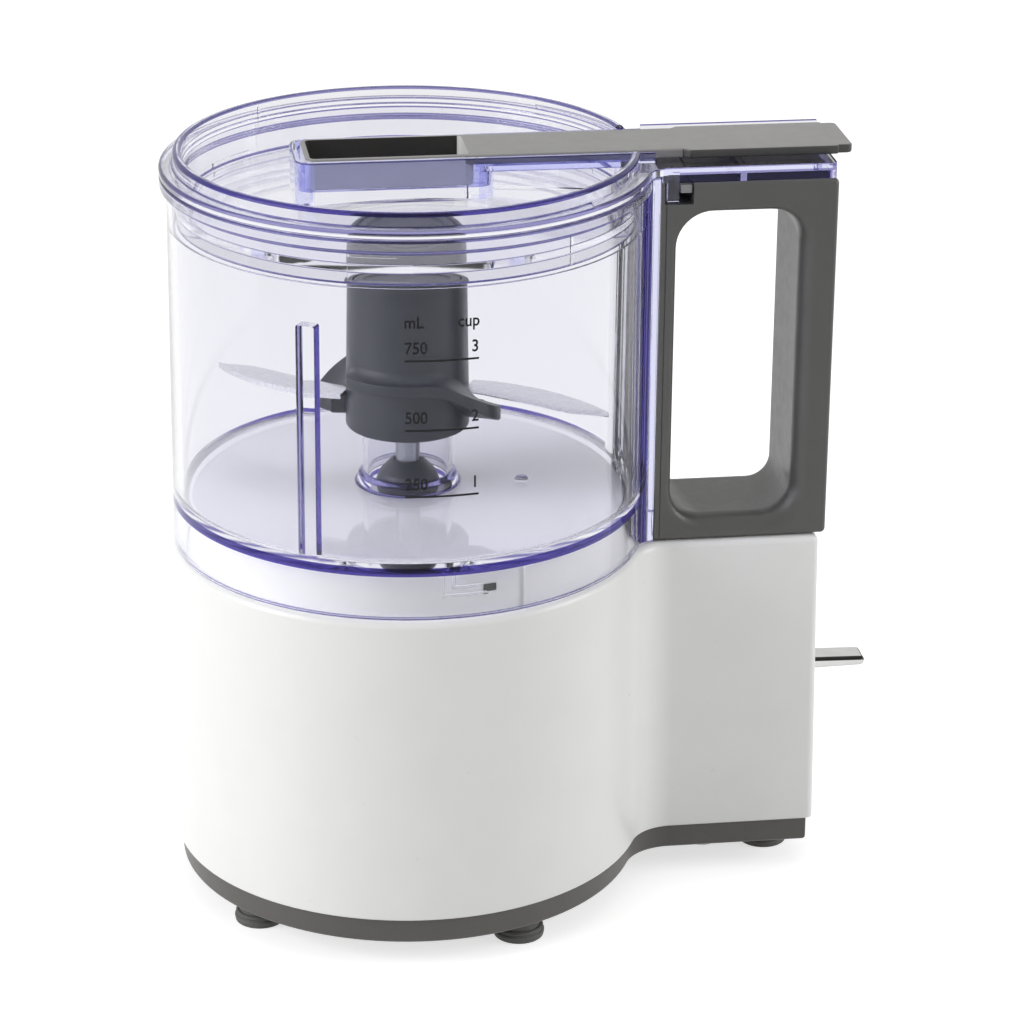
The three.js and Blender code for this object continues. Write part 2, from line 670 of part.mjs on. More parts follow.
const plateScrewHead = PLATE_BOTTOM - GAP - SCREW_HEAD_HEIGHT;
const plateScrewLength = 18;
const motorScrewHead = PLATE_LEVEL - GAP - SCREW_HEAD_HEIGHT;
const motorScrewLength = 14;
const motorBossBottom = PLATE_LEVEL + PLATE_THICKNESS + GAP;
const plateBossBottom = plateFloorTop + GAP;

/** The blind hole for a screw that enters a boss from below. */
function screwHole(bossBottom, length, x, y) {
  return post(SCREW_RADIUS + GAP, bossBottom - 1, bossBottom + length, x, y, FINE);
}

function baseHousing() {
  const shell = drafted(prism(keyhole(basePlan), BASE_BOTTOM, BASE_TOP));
  const cavity = drafted(prism(keyhole(basePlan, BASE_WALL), BASE_BOTTOM - 1, BASE_TOP - BASE_WALL));
  const turret = cylinder(TURRET_RADIUS, BASE_TOP - 1, TURRET_TOP, { segments: BIG });
  const deck = TURRET_TOP - BASE_WALL;
  const turretCavity = post(TURRET_RADIUS - BASE_WALL, BASE_TOP - BASE_WALL - 1, deck, 0, 0, BIG);
  let housing = cut(join(shell, turret), cavity, turretCavity);

  housing = housing.add(cylinder(BUSH_RADIUS + 3, BASE_TOP - 3, deck + 1, { segments: ROUND }));
  housing = housing.subtract(cylinder(BUSH_RADIUS + GAP, BASE_TOP - 5, TURRET_TOP + 1, { segments: ROUND }));

  for (const [x, y] of motorBosses) {
    housing = housing.add(cylinder(BOSS_RADIUS, motorBossBottom, deck + 1, { x, y }));
    housing = housing.subtract(screwHole(motorBossBottom, motorScrewLength, x, y));
  }
  for (const [x, y] of plateBosses) {
    const insideTurret = Math.hypot(x, y) < TURRET_RADIUS - BASE_WALL;
    const top = insideTurret ? deck + 1 : BASE_TOP - 1;
    housing = housing.add(cylinder(BOSS_RADIUS, plateBossBottom, top, { x, y }));
    housing = housing.subtract(screwHole(plateBossBottom, plateScrewLength, x, y));
  }

  const guideTop = BASE_TOP - BASE_WALL;
  housing = housing.add(cylinder(GUIDE_RADIUS, GUIDE_BOTTOM, guideTop + 1, { x: ROD_X, segments: ROUND }));
  housing = housing.subtract(post(GUIDE_RADIUS - GUIDE_WALL, GUIDE_BOTTOM - 1, guideTop, ROD_X, 0, ROUND));
  housing = housing.subtract(post(PLUNGER_RADIUS + GAP, GUIDE_BOTTOM, BASE_TOP + 1, ROD_X, 0, ROUND));

  const earInner = LEVER_HALF_WIDTH + GAP + 0.5;
  const earOuter = earInner + LEVER_EAR_WIDTH;
  const earEnd = housingTailEnd * baseTailScale + 1;
  for (const [y0, y1] of [[-earOuter, -earInner], [earInner, earOuter]]) {
    const ear = cut(
      box(LEVER_PIVOT_X - 3.2, earEnd, y0, y1, LEVER_Z - 4, LEVER_Z + 4),
      crossPin(LEVER_PIN_RADIUS + GAP, earOuter + 1, LEVER_PIVOT_X, LEVER_Z, FINE),
    );
    housing = housing.add(ear);
  }
  const slotHalf = LEVER_HALF_WIDTH + GAP;
  const slotBottom = LEVER_Z - LEVER_SLOT_HEIGHT / 2;
  housing = housing.subtract(box(
    housingTailEnd - 3, TAIL_END + 1, -slotHalf, slotHalf, slotBottom, slotBottom + LEVER_SLOT_HEIGHT,
  ));
  return housing.subtract(glandHole());
}

function alongGland(body) {
  return body.rotate([0, 90, 0]).rotate([0, 0, GLAND_ANGLE]).translate([0, 0, GLAND_HEIGHT]);
}

function glandHole() {
  return alongGland(cylinder(GLAND_RADIUS + GAP, BASE_RADIUS - 8, BASE_RADIUS + 3));
}

function cordGland() {
  const wallOuter = BASE_RADIUS * heightScale(GLAND_HEIGHT);
  const wallInner = wallOuter - BASE_WALL;
  const bore = 2.6;
  return alongGland(turned([
    [bore, wallInner - 6], [GLAND_RADIUS, wallInner - 6], [GLAND_RADIUS, wallOuter + 0.5],
    [GLAND_RADIUS + 1.8, wallOuter + 0.5], [GLAND_RADIUS + 1.3, wallOuter + 2], [bore, wallOuter + 2],
  ], { segments: SMALL }));
}

add('base_housing', baseHousing(), 'white');
add('cord_gland', cordGland(), 'rubber');

plateBosses.forEach(([x, y], i) => {
  add(`plate_screw_${i + 1}`, screw(x, y, plateScrewHead, plateScrewLength), 'steel');
});

// ---- motor mounting plate

function motorPlate() {
  const top = PLATE_LEVEL + PLATE_THICKNESS;
  const margin = MOTOR_PLATE_MARGIN;
  const side = MOTOR_BOSS_OFFSET + margin - 1;
  let plate = box(MOTOR_BOSS_FRONT - margin, MOTOR_BOSS_REAR + margin, -side, side, PLATE_LEVEL, top);
  const room = BASE_RADIUS - BASE_WALL - 2;
  plate = plate.intersect(cylinder(room, PLATE_LEVEL - 1, top + 1, { segments: BIG }));
  plate = plate.add(cylinder(BUSH_RADIUS + 2.5, PLATE_LEVEL, GEAR_BOTTOM - 2 * GAP, { segments: ROUND }));
  plate = plate.subtract(cylinder(BUSH_RADIUS + GAP, PLATE_LEVEL - 1, GEAR_BOTTOM, { segments: ROUND }));
  plate = plate.subtract(post(BEARING_RADIUS + GAP, PLATE_LEVEL - 1, top + 1, MOTOR_X, 0, ROUND));
  for (const [x, y] of motorBosses) {
    plate = plate.subtract(cylinder(SCREW_RADIUS + GAP, PLATE_LEVEL - 1, top + 1, { x, y, segments: FINE }));
  }
  return plate;
}

add('motor_plate', motorPlate(), 'steel');

motorBosses.forEach(([x, y], i) => {
  add(`motor_screw_${i + 1}`, screw(x, y, motorScrewHead, motorScrewLength), 'steel');
});

// ---- spindle and its bearings

const collarBottom = gearTop + GAP;
const collarTop = BASE_TOP - 3 - GAP;

function spindle() {
  const rod = join(
    cylinder(SPINDLE_RADIUS, SPINDLE_BOTTOM, SPINDLE_TOP, { segments: ROUND }),
    cylinder(SPINDLE_COLLAR, collarBottom, collarTop, { segments: ROUND }),
  );
  const headBottom = SPINDLE_TOP - SPINDLE_HEAD;
  return cut(
    rod,
    box(-9, 9, SPINDLE_FLAT, 9, headBottom, SPINDLE_TOP + 1),
    box(-9, 9, -9, -SPINDLE_FLAT, headBottom, SPINDLE_TOP + 1),
  );
}

add('spindle', spindle(), 'steel');

function ringOnSpindle(outer, z0, z1) {
  return tube(outer, SPINDLE_RADIUS + GAP, z0, z1, { segments: ROUND });
}

add('spindle_bush_upper', ringOnSpindle(BUSH_RADIUS, BASE_TOP - 3, TURRET_TOP - 1), 'brass');
add('spindle_bush_lower', ringOnSpindle(BUSH_RADIUS, PLATE_LEVEL, GEAR_BOTTOM - GAP), 'brass');
add('spindle_clip', ringOnSpindle(SPINDLE_RADIUS + 2, SPINDLE_BOTTOM + 1, PLATE_LEVEL - GAP), 'steel');

function spindleBoot() {
  const low = TURRET_TOP + GAP;
  const bore = SPINDLE_RADIUS + GAP;
  const neck = SPINDLE_RADIUS + 1.2;
  return turned([
    [bore, low], [BOOT_RADIUS, low], [BOOT_RADIUS, low + 3.2], [BOOT_RADIUS - 1.1, low + 6],
    [BOOT_RADIUS - 3.2, low + 8.2], [neck, BOOT_TOP - 0.2], [bore, BOOT_TOP],
  ], { segments: MEDIUM });
}

add('spindle_boot', spindleBoot(), 'hub');

function driveGear() {
  const wheel = prism(gearPlan(GEAR_TEETH, true), GEAR_BOTTOM, gearTop);
  return cut(wheel, cylinder(SPINDLE_RADIUS + GAP, GEAR_BOTTOM - 1, gearTop + 1, { segments: ROUND }));
}

add('drive_gear', driveGear(), 'nylon');

// ---- motor

const motorAt = { x: MOTOR_X, segments: MEDIUM };

function motorCan() {
  const top = PLATE_LEVEL - GAP;
  const inner = MOTOR_RADIUS - MOTOR_CAN_WALL;
  const bore = BEARING_RADIUS + GAP;
  return turned([
    [inner, MOTOR_CAN_BOTTOM], [MOTOR_RADIUS, MOTOR_CAN_BOTTOM], [MOTOR_RADIUS, top],
    [bore, top], [bore, top - 2.5], [inner, top - 2.5],
  ], motorAt);
}

function magnet(middle) {
  const half = radians(MAGNET_SWEEP / 2);
  const plan = [
    ...arc(MOTOR_X, 0, magnetOuter, middle - half, middle + half, 10),
    ...arc(MOTOR_X, 0, magnetOuter - MAGNET_THICKNESS, middle + half, middle - half, 10),
  ];
  return prism(plan, MAGNET_BOTTOM, MAGNET_TOP);
}

function armature() {
  const bottom = ARMATURE_BOTTOM;
  const top = ARMATURE_TOP;
  const rim = MOTOR_X + ARMATURE_RADIUS;
  let core = cylinder(ARMATURE_RADIUS, bottom, top, motorAt);
  for (let slot = 0; slot < ARMATURE_SLOTS; slot += 1) {
    const channel = box(rim - 5, rim + 1, -1, 1, bottom - 1, top + 1);
    core = core.subtract(turnAbout(channel, 360 * slot / ARMATURE_SLOTS, MOTOR_X));
  }
  const low = bottom - WINDING_STAND;
  const high = top + WINDING_STAND;
  const inner = MOTOR_SHAFT_RADIUS + 1.5;
  const shoulder = WINDING_RADIUS - 1.5;
  const windings = turned([
    [inner, low], [shoulder, low], [WINDING_RADIUS, low + 1.5], [WINDING_RADIUS, high - 1.5],
    [shoulder, high], [inner, high],
  ], motorAt);
  return cut(join(core, windings), cylinder(MOTOR_SHAFT_RADIUS + GAP, low - 1, high + 1, { x: MOTOR_X }));
}

function endCap() {
  const bottom = MOTOR_CAN_BOTTOM - GAP - 3.6;
  const inner = MOTOR_RADIUS - MOTOR_CAN_WALL - GAP;
  let cap = cylinder(MOTOR_RADIUS, bottom, MOTOR_CAN_BOTTOM - GAP, motorAt);
  cap = cap.add(tube(inner, inner - 1.6, MOTOR_CAN_BOTTOM - 1, MOTOR_CAN_BOTTOM + 3, motorAt));
  cap = cap.add(post(BEARING_RADIUS + 2.4, bottom - 4, MOTOR_CAN_BOTTOM - GAP, MOTOR_X, 0, ROUND));
  for (const side of [-1, 1]) {
    const holder = cut(
      box(MOTOR_X - 4.5, MOTOR_X + 4.5, 9.6, 16, MOTOR_CAN_BOTTOM - 1, 44.5),
      box(MOTOR_X - brushRoom, MOTOR_X + brushRoom, 9, 20, BRUSH_LEVEL - brushRoom, BRUSH_LEVEL + brushRoom),
    );
    cap = cap.add(side > 0 ? holder : holder.mirror([0, 1, 0]));
  }
  return cap.subtract(post(BEARING_RADIUS + GAP, bottom - 5, MOTOR_CAN_BOTTOM + 1, MOTOR_X, 0, ROUND));
}

function commutator() {
  const bore = MOTOR_SHAFT_RADIUS + GAP;
  const [low, high] = [BRUSH_LEVEL - 3.5, BRUSH_LEVEL + 5.6];
  return tube(COMMUTATOR_RADIUS, bore, low, high, { x: MOTOR_X, segments: ROUND });
}

function brush() {
  const half = BRUSH_WIDTH / 2;
  const start = COMMUTATOR_RADIUS + GAP;
  return box(MOTOR_X - half, MOTOR_X + half, start, BRUSH_END, BRUSH_LEVEL - half, BRUSH_LEVEL + half);
}

function coolingFan() {
  const bottom = 17;
  const top = 24.2;
  let fan = join(
    cylinder(FAN_RADIUS, top - 1.4, top, motorAt),
    cylinder(7, bottom, top, { x: MOTOR_X, segments: ROUND }),
  );
  for (let blade = 0; blade < FAN_BLADES; blade += 1) {
    const vane = box(MOTOR_X + 6.5, MOTOR_X + FAN_RADIUS - 0.8, -0.7, 0.7, bottom, top - 1);
    fan = fan.add(turnAbout(vane, 360 * blade / FAN_BLADES, MOTOR_X));
  }
  return cut(fan, cylinder(MOTOR_SHAFT_RADIUS + GAP, bottom - 1, top + 1, { x: MOTOR_X }));
}

add('motor_can', motorCan(), 'steel');
add('magnet_left', magnet(Math.PI), 'magnet');
add('magnet_right', magnet(0), 'magnet');
add('motor_end_cap', endCap(), 'dark');

function bearing(z) {
  const bore = MOTOR_SHAFT_RADIUS + GAP;
  return tube(BEARING_RADIUS, bore, z, z + BEARING_HEIGHT, { x: MOTOR_X, segments: ROUND });
}

add('motor_bearing_upper', bearing(PLATE_LEVEL - BEARING_HEIGHT / 2), 'steel');
add('motor_bearing_lower', bearing(LOWER_BEARING_Z), 'steel');
add('motor_shaft', cylinder(MOTOR_SHAFT_RADIUS, MOTOR_SHAFT_BOTTOM, gearTop + 1, { x: MOTOR_X }), 'steel');
add('armature', armature(), 'copper');
add('commutator', commutator(), 'copper');
add('brush_rear', brush(), 'magnet');
add('brush_front', brush().mirror([0, 1, 0]), 'magnet');
add('cooling_fan', coolingFan(), 'nylon');

function pinion() {
  const plan = gearPlan(PINION_TEETH, false).map(([x, y]) => [MOTOR_X - x, y]);
  return cut(
    prism(plan, GEAR_BOTTOM - 0.5, gearTop + 0.5),
    cylinder(MOTOR_SHAFT_RADIUS + GAP, GEAR_BOTTOM - 2, gearTop + 2, { x: MOTOR_X }),
  );
}

add('pinion', pinion(), 'brass');

// ---- electrics

add('circuit_board', box(
  BOARD_START, BOARD_END, -BOARD_HALF_WIDTH, BOARD_HALF_WIDTH, BOARD_LEVEL, BOARD_LEVEL + BOARD_THICKNESS,
), 'board');

const capacitorBottom = BOARD_LEVEL + BOARD_THICKNESS + GAP;
const capacitorTop = capacitorBottom + CAPACITOR_HEIGHT;

add('capacitor', turned([
  [0, capacitorBottom], [CAPACITOR_RADIUS, capacitorBottom], [CAPACITOR_RADIUS, capacitorTop - 1],
  [CAPACITOR_RADIUS - 0.6, capacitorTop], [0, capacitorTop],
], { x: CAPACITOR_X, segments: ROUND }), 'magnet');

// ---- switch lever

const frameHalfWidth = TAIL_HALF_WIDTH - BASE_WALL - 1.2;
const frameTop = LEVER_Z + 11;
const frameArmBottom = LEVER_Z + 8.4;

function switchFrame() {
  const halfBody = 6.4;
  return join(
    box(FRAME_START, FRAME_END, -frameHalfWidth, frameHalfWidth, FRAME_BOTTOM, FRAME_BOTTOM + 3),
    box(FRAME_START, FRAME_END, -halfBody, halfBody, FRAME_BOTTOM + 1, LEVER_Z - LEVER_THICKNESS / 2 - GAP),
    box(FRAME_START, FRAME_START + 2.6, -halfBody, halfBody, FRAME_BOTTOM, frameTop),
    box(FRAME_START, FRAME_END, -halfBody, halfBody, frameArmBottom, frameTop),
  );
}

function switchLever() {
  const half = LEVER_THICKNESS / 2;
  const tipHalf = LEVER_TIP_THICKNESS / 2;
  const taper = LEVER_TIP_X - LEVER_TAPER;
  const tip = LEVER_TIP_X - 0.5;
  const side = [
    [LEVER_TAIL_X, LEVER_Z - half], [taper, LEVER_Z - half], [tip, LEVER_Z - tipHalf],
    [LEVER_TIP_X, LEVER_Z], [tip, LEVER_Z + tipHalf], [taper, LEVER_Z + half],
    [LEVER_TAIL_X, LEVER_Z + half],
  ];
  const barrel = crossPin(LEVER_PIN_RADIUS + GAP + 1.3, LEVER_HALF_WIDTH, LEVER_PIVOT_X, LEVER_Z);
  return cut(
    join(sidePrism(side, -LEVER_HALF_WIDTH, LEVER_HALF_WIDTH), barrel),
    crossPin(LEVER_PIN_RADIUS + GAP, LEVER_HALF_WIDTH + 1, LEVER_PIVOT_X, LEVER_Z, FINE),
  );
}

add('switch_frame', switchFrame(), 'dark');
add('switch_lever', switchLever(), 'chrome');

const leverPinHalf = LEVER_HALF_WIDTH + LEVER_EAR_WIDTH + 0.8;
const leverSpringSeat = LEVER_Z + LEVER_THICKNESS / 2 + GAP;

add('lever_pin', crossPin(LEVER_PIN_RADIUS, leverPinHalf, LEVER_PIVOT_X, LEVER_Z, FINE), 'steel');
add('lever_spring', spring(
  LEVER_SPRING_RADIUS, LEVER_SPRING_WIRE, leverSpringSeat, frameArmBottom - GAP, 4, LEVER_SPRING_X, 0,
), 'steel');

// ---- interlock plunger in the base

const plungerFlangeTop = GUIDE_BOTTOM + 6;
const plungerFlangeBottom = plungerFlangeTop - 1.4;
const plungerBottom = GUIDE_BOTTOM - 2.2;
const retainerTop = GUIDE_BOTTOM - GAP;
const retainerBottom = retainerTop - 1.5;

add('interlock_plunger', turned([
  [0, plungerBottom], [PLUNGER_STEM, plungerBottom],
  [PLUNGER_STEM, plungerFlangeBottom], [PLUNGER_FLANGE, plungerFlangeBottom],
  [PLUNGER_FLANGE, plungerFlangeTop], [PLUNGER_RADIUS, plungerFlangeTop],
  [PLUNGER_RADIUS, BASE_TOP], [0, BASE_TOP],
], { x: ROD_X, segments: ROUND }), 'nylon');

add('plunger_spring', spring(
  PLUNGER_SPRING_RADIUS, PLUNGER_SPRING_WIRE, retainerTop + GAP, plungerFlangeBottom - GAP, 3, ROD_X, 0,
), 'steel');

const microHalf = 3.2;
const microTop = plungerBottom - PLUNGER_TRAVEL - TRAVEL_ROOM;
const microBottom = microTop - 9;

function plungerRetainer() {
  const leg = microHalf + GAP;
  return cut(
    join(
      box(ROD_X - 7, ROD_X + 7, -leg - 1.6, leg + 1.6, retainerBottom, retainerTop),
      box(ROD_X - 5, ROD_X + 5, leg, leg + 1.6, microBottom, retainerTop),
      box(ROD_X - 5, ROD_X + 5, -leg - 1.6, -leg, microBottom, retainerTop),
    ),
    cylinder(PLUNGER_STEM + GAP, retainerBottom - 1, retainerTop + 1, { x: ROD_X }),
  );
}

add('plunger_retainer', plungerRetainer(), 'nylon');
add('interlock_switch', box(ROD_X - 6, ROD_X + 6, -microHalf, microHalf, microBottom, microTop), 'dark');

// ---- bowl

function bowl() {
  const skirtInner = TURRET_RADIUS + 1.4;
  const fillet = 1.8;
  const chimneyInner = CHIMNEY_RADIUS - CHIMNEY_WALL;
  const chimneyFootTop = BOWL_FLOOR_TOP + CHIMNEY_FOOT_HEIGHT;
  const outside = [
    [chimneyInner, bowlFloorBottom], [skirtInner, bowlFloorBottom], [skirtInner, BOWL_BOTTOM],
    [BOWL_RADIUS_BOTTOM, BOWL_BOTTOM], [BOWL_RADIUS_BOTTOM - 0.2, BOWL_FLOOR_TOP],
    [BOWL_RADIUS_TOP, BOWL_STEP], [BOWL_RADIUS_TOP, BOWL_RIM - LIP_HEIGHT],
    [LIP_RADIUS, BOWL_RIM - LIP_HEIGHT + 0.6], [LIP_RADIUS, BOWL_RIM],
  ];
  const inside = [
    [bowlRimInner, BOWL_RIM], [bowlRimInner, BOWL_STEP], [bowlInner, BOWL_STEP],
    [bowlInner, BOWL_FLOOR_TOP + fillet], [bowlInner - 0.5, BOWL_FLOOR_TOP + 0.5],
    [bowlInner - fillet, BOWL_FLOOR_TOP], [CHIMNEY_FOOT_RADIUS, BOWL_FLOOR_TOP],
    [CHIMNEY_FOOT_RADIUS - 0.4, chimneyFootTop], [CHIMNEY_RADIUS, chimneyFootTop + 1],
    [CHIMNEY_RADIUS, CHIMNEY_TOP], [chimneyInner, CHIMNEY_TOP],
  ];
  const shell = turned([...outside, ...inside], { segments: BIG });

  const rib = turnAbout(box(
    bowlInner - RIB_DEPTH, bowlInner + 1, -RIB_WIDTH / 2, RIB_WIDTH / 2, BOWL_FLOOR_TOP - 1, RIB_TOP,
  ), RIB_ANGLE);

  let result = join(shell, rib, bridge());
  for (const side of [-1, 1]) {
    const y = side * TONGUE_OFFSET;
    const half = TONGUE_WIDTH / 2;
    result = result.add(box(
      BRIDGE_END - 1, BRIDGE_END + TONGUE_DEPTH, y - half, y + half, TONGUE_BOTTOM, TONGUE_TOP,
    ));
  }
  return result;
}

/** The clear wedge that blends the round wall into the handle's flat face. */
function bridge() {
  const radius = BOWL_RADIUS_TOP - 0.2;
  const centreY = HANDLE_HALF_WIDTH + BRIDGE_FILLET;
  const centreX = Math.sqrt((radius + BRIDGE_FILLET) ** 2 - centreY ** 2);
  const touch = Math.atan2(centreY, centreX);
  const endAngle = Math.acos((BRIDGE_END - centreX) / BRIDGE_FILLET);
  const back = radius - BOWL_WALL / 2;
  const plan = [
    ...arc(centreX, -centreY, BRIDGE_FILLET, Math.PI - touch, endAngle, 4),
    ...arc(centreX, centreY, BRIDGE_FILLET, -endAngle, touch - Math.PI, 4),
    ...arc(0, 0, back, touch, -touch, 10),
  ];
  return prism(plan, BOWL_BOTTOM, BOWL_RIM);
}

add('bowl', bowl(), 'clear');

// ---- handle

function handle() {
  const edge = HANDLE_EDGE;
  const start = HANDLE_START - 12;
  const outline = sideOutline(start, HANDLE_END, BOWL_BOTTOM, HANDLE_TOP, HANDLE_CORNER, edge);
  const opening = sideOutline(WINDOW_START, WINDOW_END, WINDOW_BOTTOM, WINDOW_TOP, WINDOW_CORNER, -edge);
  const shape = new THREE.Shape(outline);
  shape.holes.push(new THREE.Path(opening));
  const geometry = new THREE.ExtrudeGeometry(shape, {
    depth: 2 * (HANDLE_HALF_WIDTH - edge),
    bevelEnabled: true,
    bevelThickness: edge,
    bevelSize: edge,
    bevelSegments: 3,
  });
  geometry.rotateX(Math.PI / 2);
  geometry.translate(0, HANDLE_HALF_WIDTH - edge, 0);
  let grip = solid(geometry);
  const rodHalf = ROD_THICKNESS / 2 + GAP;
  const rodSide = ROD_HALF_WIDTH + GAP;
  grip = cut(
    grip,
    box(HANDLE_START - 20, HANDLE_START, -30, 30, BOWL_BOTTOM - 1, HANDLE_TOP + 1),
    cylinder(LIP_RADIUS + GAP, BOWL_RIM - LIP_HEIGHT - GAP, HANDLE_TOP + 1, { segments: BIG }),
    box(ROD_X - rodHalf, ROD_X + rodHalf, -rodSide, rodSide, BOWL_BOTTOM - 1, HANDLE_TOP + 1),
    box(ROD_X - rodHalf, LATCH_END, -HANDLE_HALF_WIDTH - 1, rodSide, LATCH_BOTTOM, HANDLE_TOP + 1),
  );
  for (const side of [-1, 1]) {
    const y = side * TONGUE_OFFSET;
    const half = TONGUE_WIDTH / 2 + GAP;
    const end = BRIDGE_END + TONGUE_DEPTH + GAP;
    grip = grip.subtract(box(
      HANDLE_START - 1, end, y - half, y + half, TONGUE_BOTTOM - GAP, TONGUE_TOP + GAP,
    ));
  }
  return grip;
}

/** A rounded rectangle as a side view, smaller by `inset` all round so that a bevel brings it to size. */
function sideOutline(x0, x1, z0, z1, corner, inset) {
  const middle = (z0 + z1) / 2;
  const half = (z1 - z0) / 2 - inset;
  const points = roundedPlan(x0 + inset, x1 - inset, half, Math.max(corner - inset, 0.3));
  return points.map(([x, z]) => new THREE.Vector2(x, middle + z));
}

add('handle', handle(), 'dark');

// ---- interlock slider in the handle

function interlockSlider() {
  const half = ROD_THICKNESS / 2;
  const low = HANDLE_TOP - GAP - SLIDER_HEIGHT;
  const high = HANDLE_TOP - GAP;
  const headStart = ROD_X + HOOK_THICKNESS - 0.1;
  const headEnd = LATCH_END - GAP;
  return join(
    box(ROD_X - half, ROD_X + half, -ROD_HALF_WIDTH, ROD_HALF_WIDTH, BOWL_BOTTOM + 5, high),
    box(ROD_X - half, ROD_X + half, -1.4, 1.4, BOWL_BOTTOM, BOWL_BOTTOM + 6),
    box(ROD_X - half, headEnd, -ROD_HALF_WIDTH, ROD_HALF_WIDTH, low, high),
    box(headStart, headEnd, -HANDLE_HALF_WIDTH + 0.5, ROD_HALF_WIDTH, low, high),
  );
}

add('interlock_slider', interlockSlider(), 'grey');

// ---- blade hub, cap, drive insert and blades

function bladeHub() {
  const seat = HUB_TOP - CAP_HEIGHT;
  let hub = turned([
    [HUB_BORE, HUB_BOTTOM], [HUB_RADIUS_BOTTOM, HUB_BOTTOM],
    [HUB_RADIUS_TOP, HUB_TOP - 1], [HUB_RADIUS_TOP - 1, HUB_TOP],
    [CAP_RADIUS + GAP, HUB_TOP], [CAP_RADIUS + GAP, seat], [SOCKET_RADIUS + GAP, seat],
    [SOCKET_RADIUS + GAP, HUB_BORE_TOP], [HUB_BORE, HUB_BORE_TOP],
  ], { segments: MEDIUM });
  for (const turn of [0, 180]) {
    hub = hub.add(wing().rotate([0, 0, turn]));
    hub = hub.subtract(bladeBody(GAP).rotate([0, 0, BLADE_ANGLE + turn]));
  }
  return hub;
}

/** The moulded ledge that sweeps half way round the hub, sinks, and reaches out to carry a blade's root. */
function wing() {
  const { lerp, smoothstep } = THREE.MathUtils;
  const steps = 16;
  const ledge = HUB_RADIUS_BOTTOM + WING_LEDGE;
  const back = HUB_BORE + WING_EDGE;
  const rings = [];
  for (let i = 0; i <= steps; i += 1) {
    const t = i / steps;
    const angle = radians(WING_ANGLE_START + (WING_ANGLE_END - WING_ANGLE_START) * t);
    const fall = smoothstep(t, 0.52, 0.9);
    const top = WING_TOP - WING_DROP * fall;
    const bottom = top - lerp(WING_HEIGHT_START, WING_HEIGHT_END, fall);
    const swell = smoothstep(t, 0.25, 0.86) * (1 - 0.85 * smoothstep(t, 0.88, 1));
    const start = lerp(HUB_RADIUS_BOTTOM + 0.2, ledge, smoothstep(t, 0, 0.12));
    const reach = start + (WING_REACH - ledge) * swell;
    const section = [
      [back, bottom], [reach, bottom], [reach, top - WING_EDGE], [reach - WING_EDGE, top], [back, top],
    ];
    rings.push(section.map(([r, z]) => [r * Math.cos(angle), r * Math.sin(angle), z]));
  }
  return loft(rings);
}

/** One blade in its own frame, tip on +X; `grow` fattens it to cut its seat in the hub. */
function bladeBody(grow) {
  const half = BLADE_THICKNESS / 2 + grow;
  const edgeHalf = 0.25 + grow;
  // stations along the blade: [distance, rear edge, front edge] as shares of the reach
  const stations = [
    [0.262, 0.208, 0.065], [0.36, 0.222, 0.058], [0.47, 0.218, 0.038],
    [0.6, 0.2, 0.012], [0.72, 0.165, -0.018], [0.83, 0.118, -0.04],
    [0.92, 0.066, -0.03], [0.97, 0.03, -0.014], [1, 0.004, -0.002],
  ];
  const rings = stations.map(([along, rear, front], i) => {
    const x = along * BLADE_REACH - (i === 0 ? grow : 0);
    const rearY = rear * BLADE_REACH + grow;
    const frontY = front * BLADE_REACH - grow;
    const bevelY = frontY + Math.min(2.6, 0.4 * (rearY - frontY));
    return [
      [x, frontY, BLADE_HEIGHT - edgeHalf], [x, bevelY, BLADE_HEIGHT - half],
      [x, rearY, BLADE_HEIGHT - half], [x, rearY, BLADE_HEIGHT + half],
      [x, bevelY, BLADE_HEIGHT + half], [x, frontY, BLADE_HEIGHT + edgeHalf],
    ];
  });
  return loft(rings);
}

function driveInsert() {
  const flat = SPINDLE_FLAT + GAP;
  const bore = SPINDLE_RADIUS + GAP;
  const low = HUB_BORE_TOP + GAP;
  const slot = box(-bore, bore, -flat, flat, low - 1, SPINDLE_TOP + 2)
    .intersect(cylinder(bore, low - 1, SPINDLE_TOP + 2, { segments: ROUND }));
  return cut(cylinder(SOCKET_RADIUS, low, HUB_TOP - CAP_HEIGHT - GAP, { segments: ROUND }), slot);
}

add('blade_hub', bladeHub(), 'hub');
add('hub_cap', turned([
  [0, HUB_TOP - CAP_HEIGHT + GAP], [CAP_RADIUS, HUB_TOP - CAP_HEIGHT + GAP], [CAP_RADIUS, HUB_TOP - 0.3],
  [CAP_RADIUS - 0.6, HUB_TOP], [0, HUB_TOP],
], { segments: MEDIUM }), 'hub');
add('drive_insert', driveInsert(), 'steel');
add('blade_right', bladeBody(0).rotate([0, 0, BLADE_ANGLE]), 'steel');
add('blade_left', bladeBody(0).rotate([0, 0, BLADE_ANGLE + 180]), 'steel');

// ---- lid

const lidPlan = {
  radius: LIP_RADIUS - 0.3,
  end: LID_TAIL_END,
  halfWidth: HANDLE_HALF_WIDTH,
  fillet: BRIDGE_FILLET,
  corner: 1.6,
};

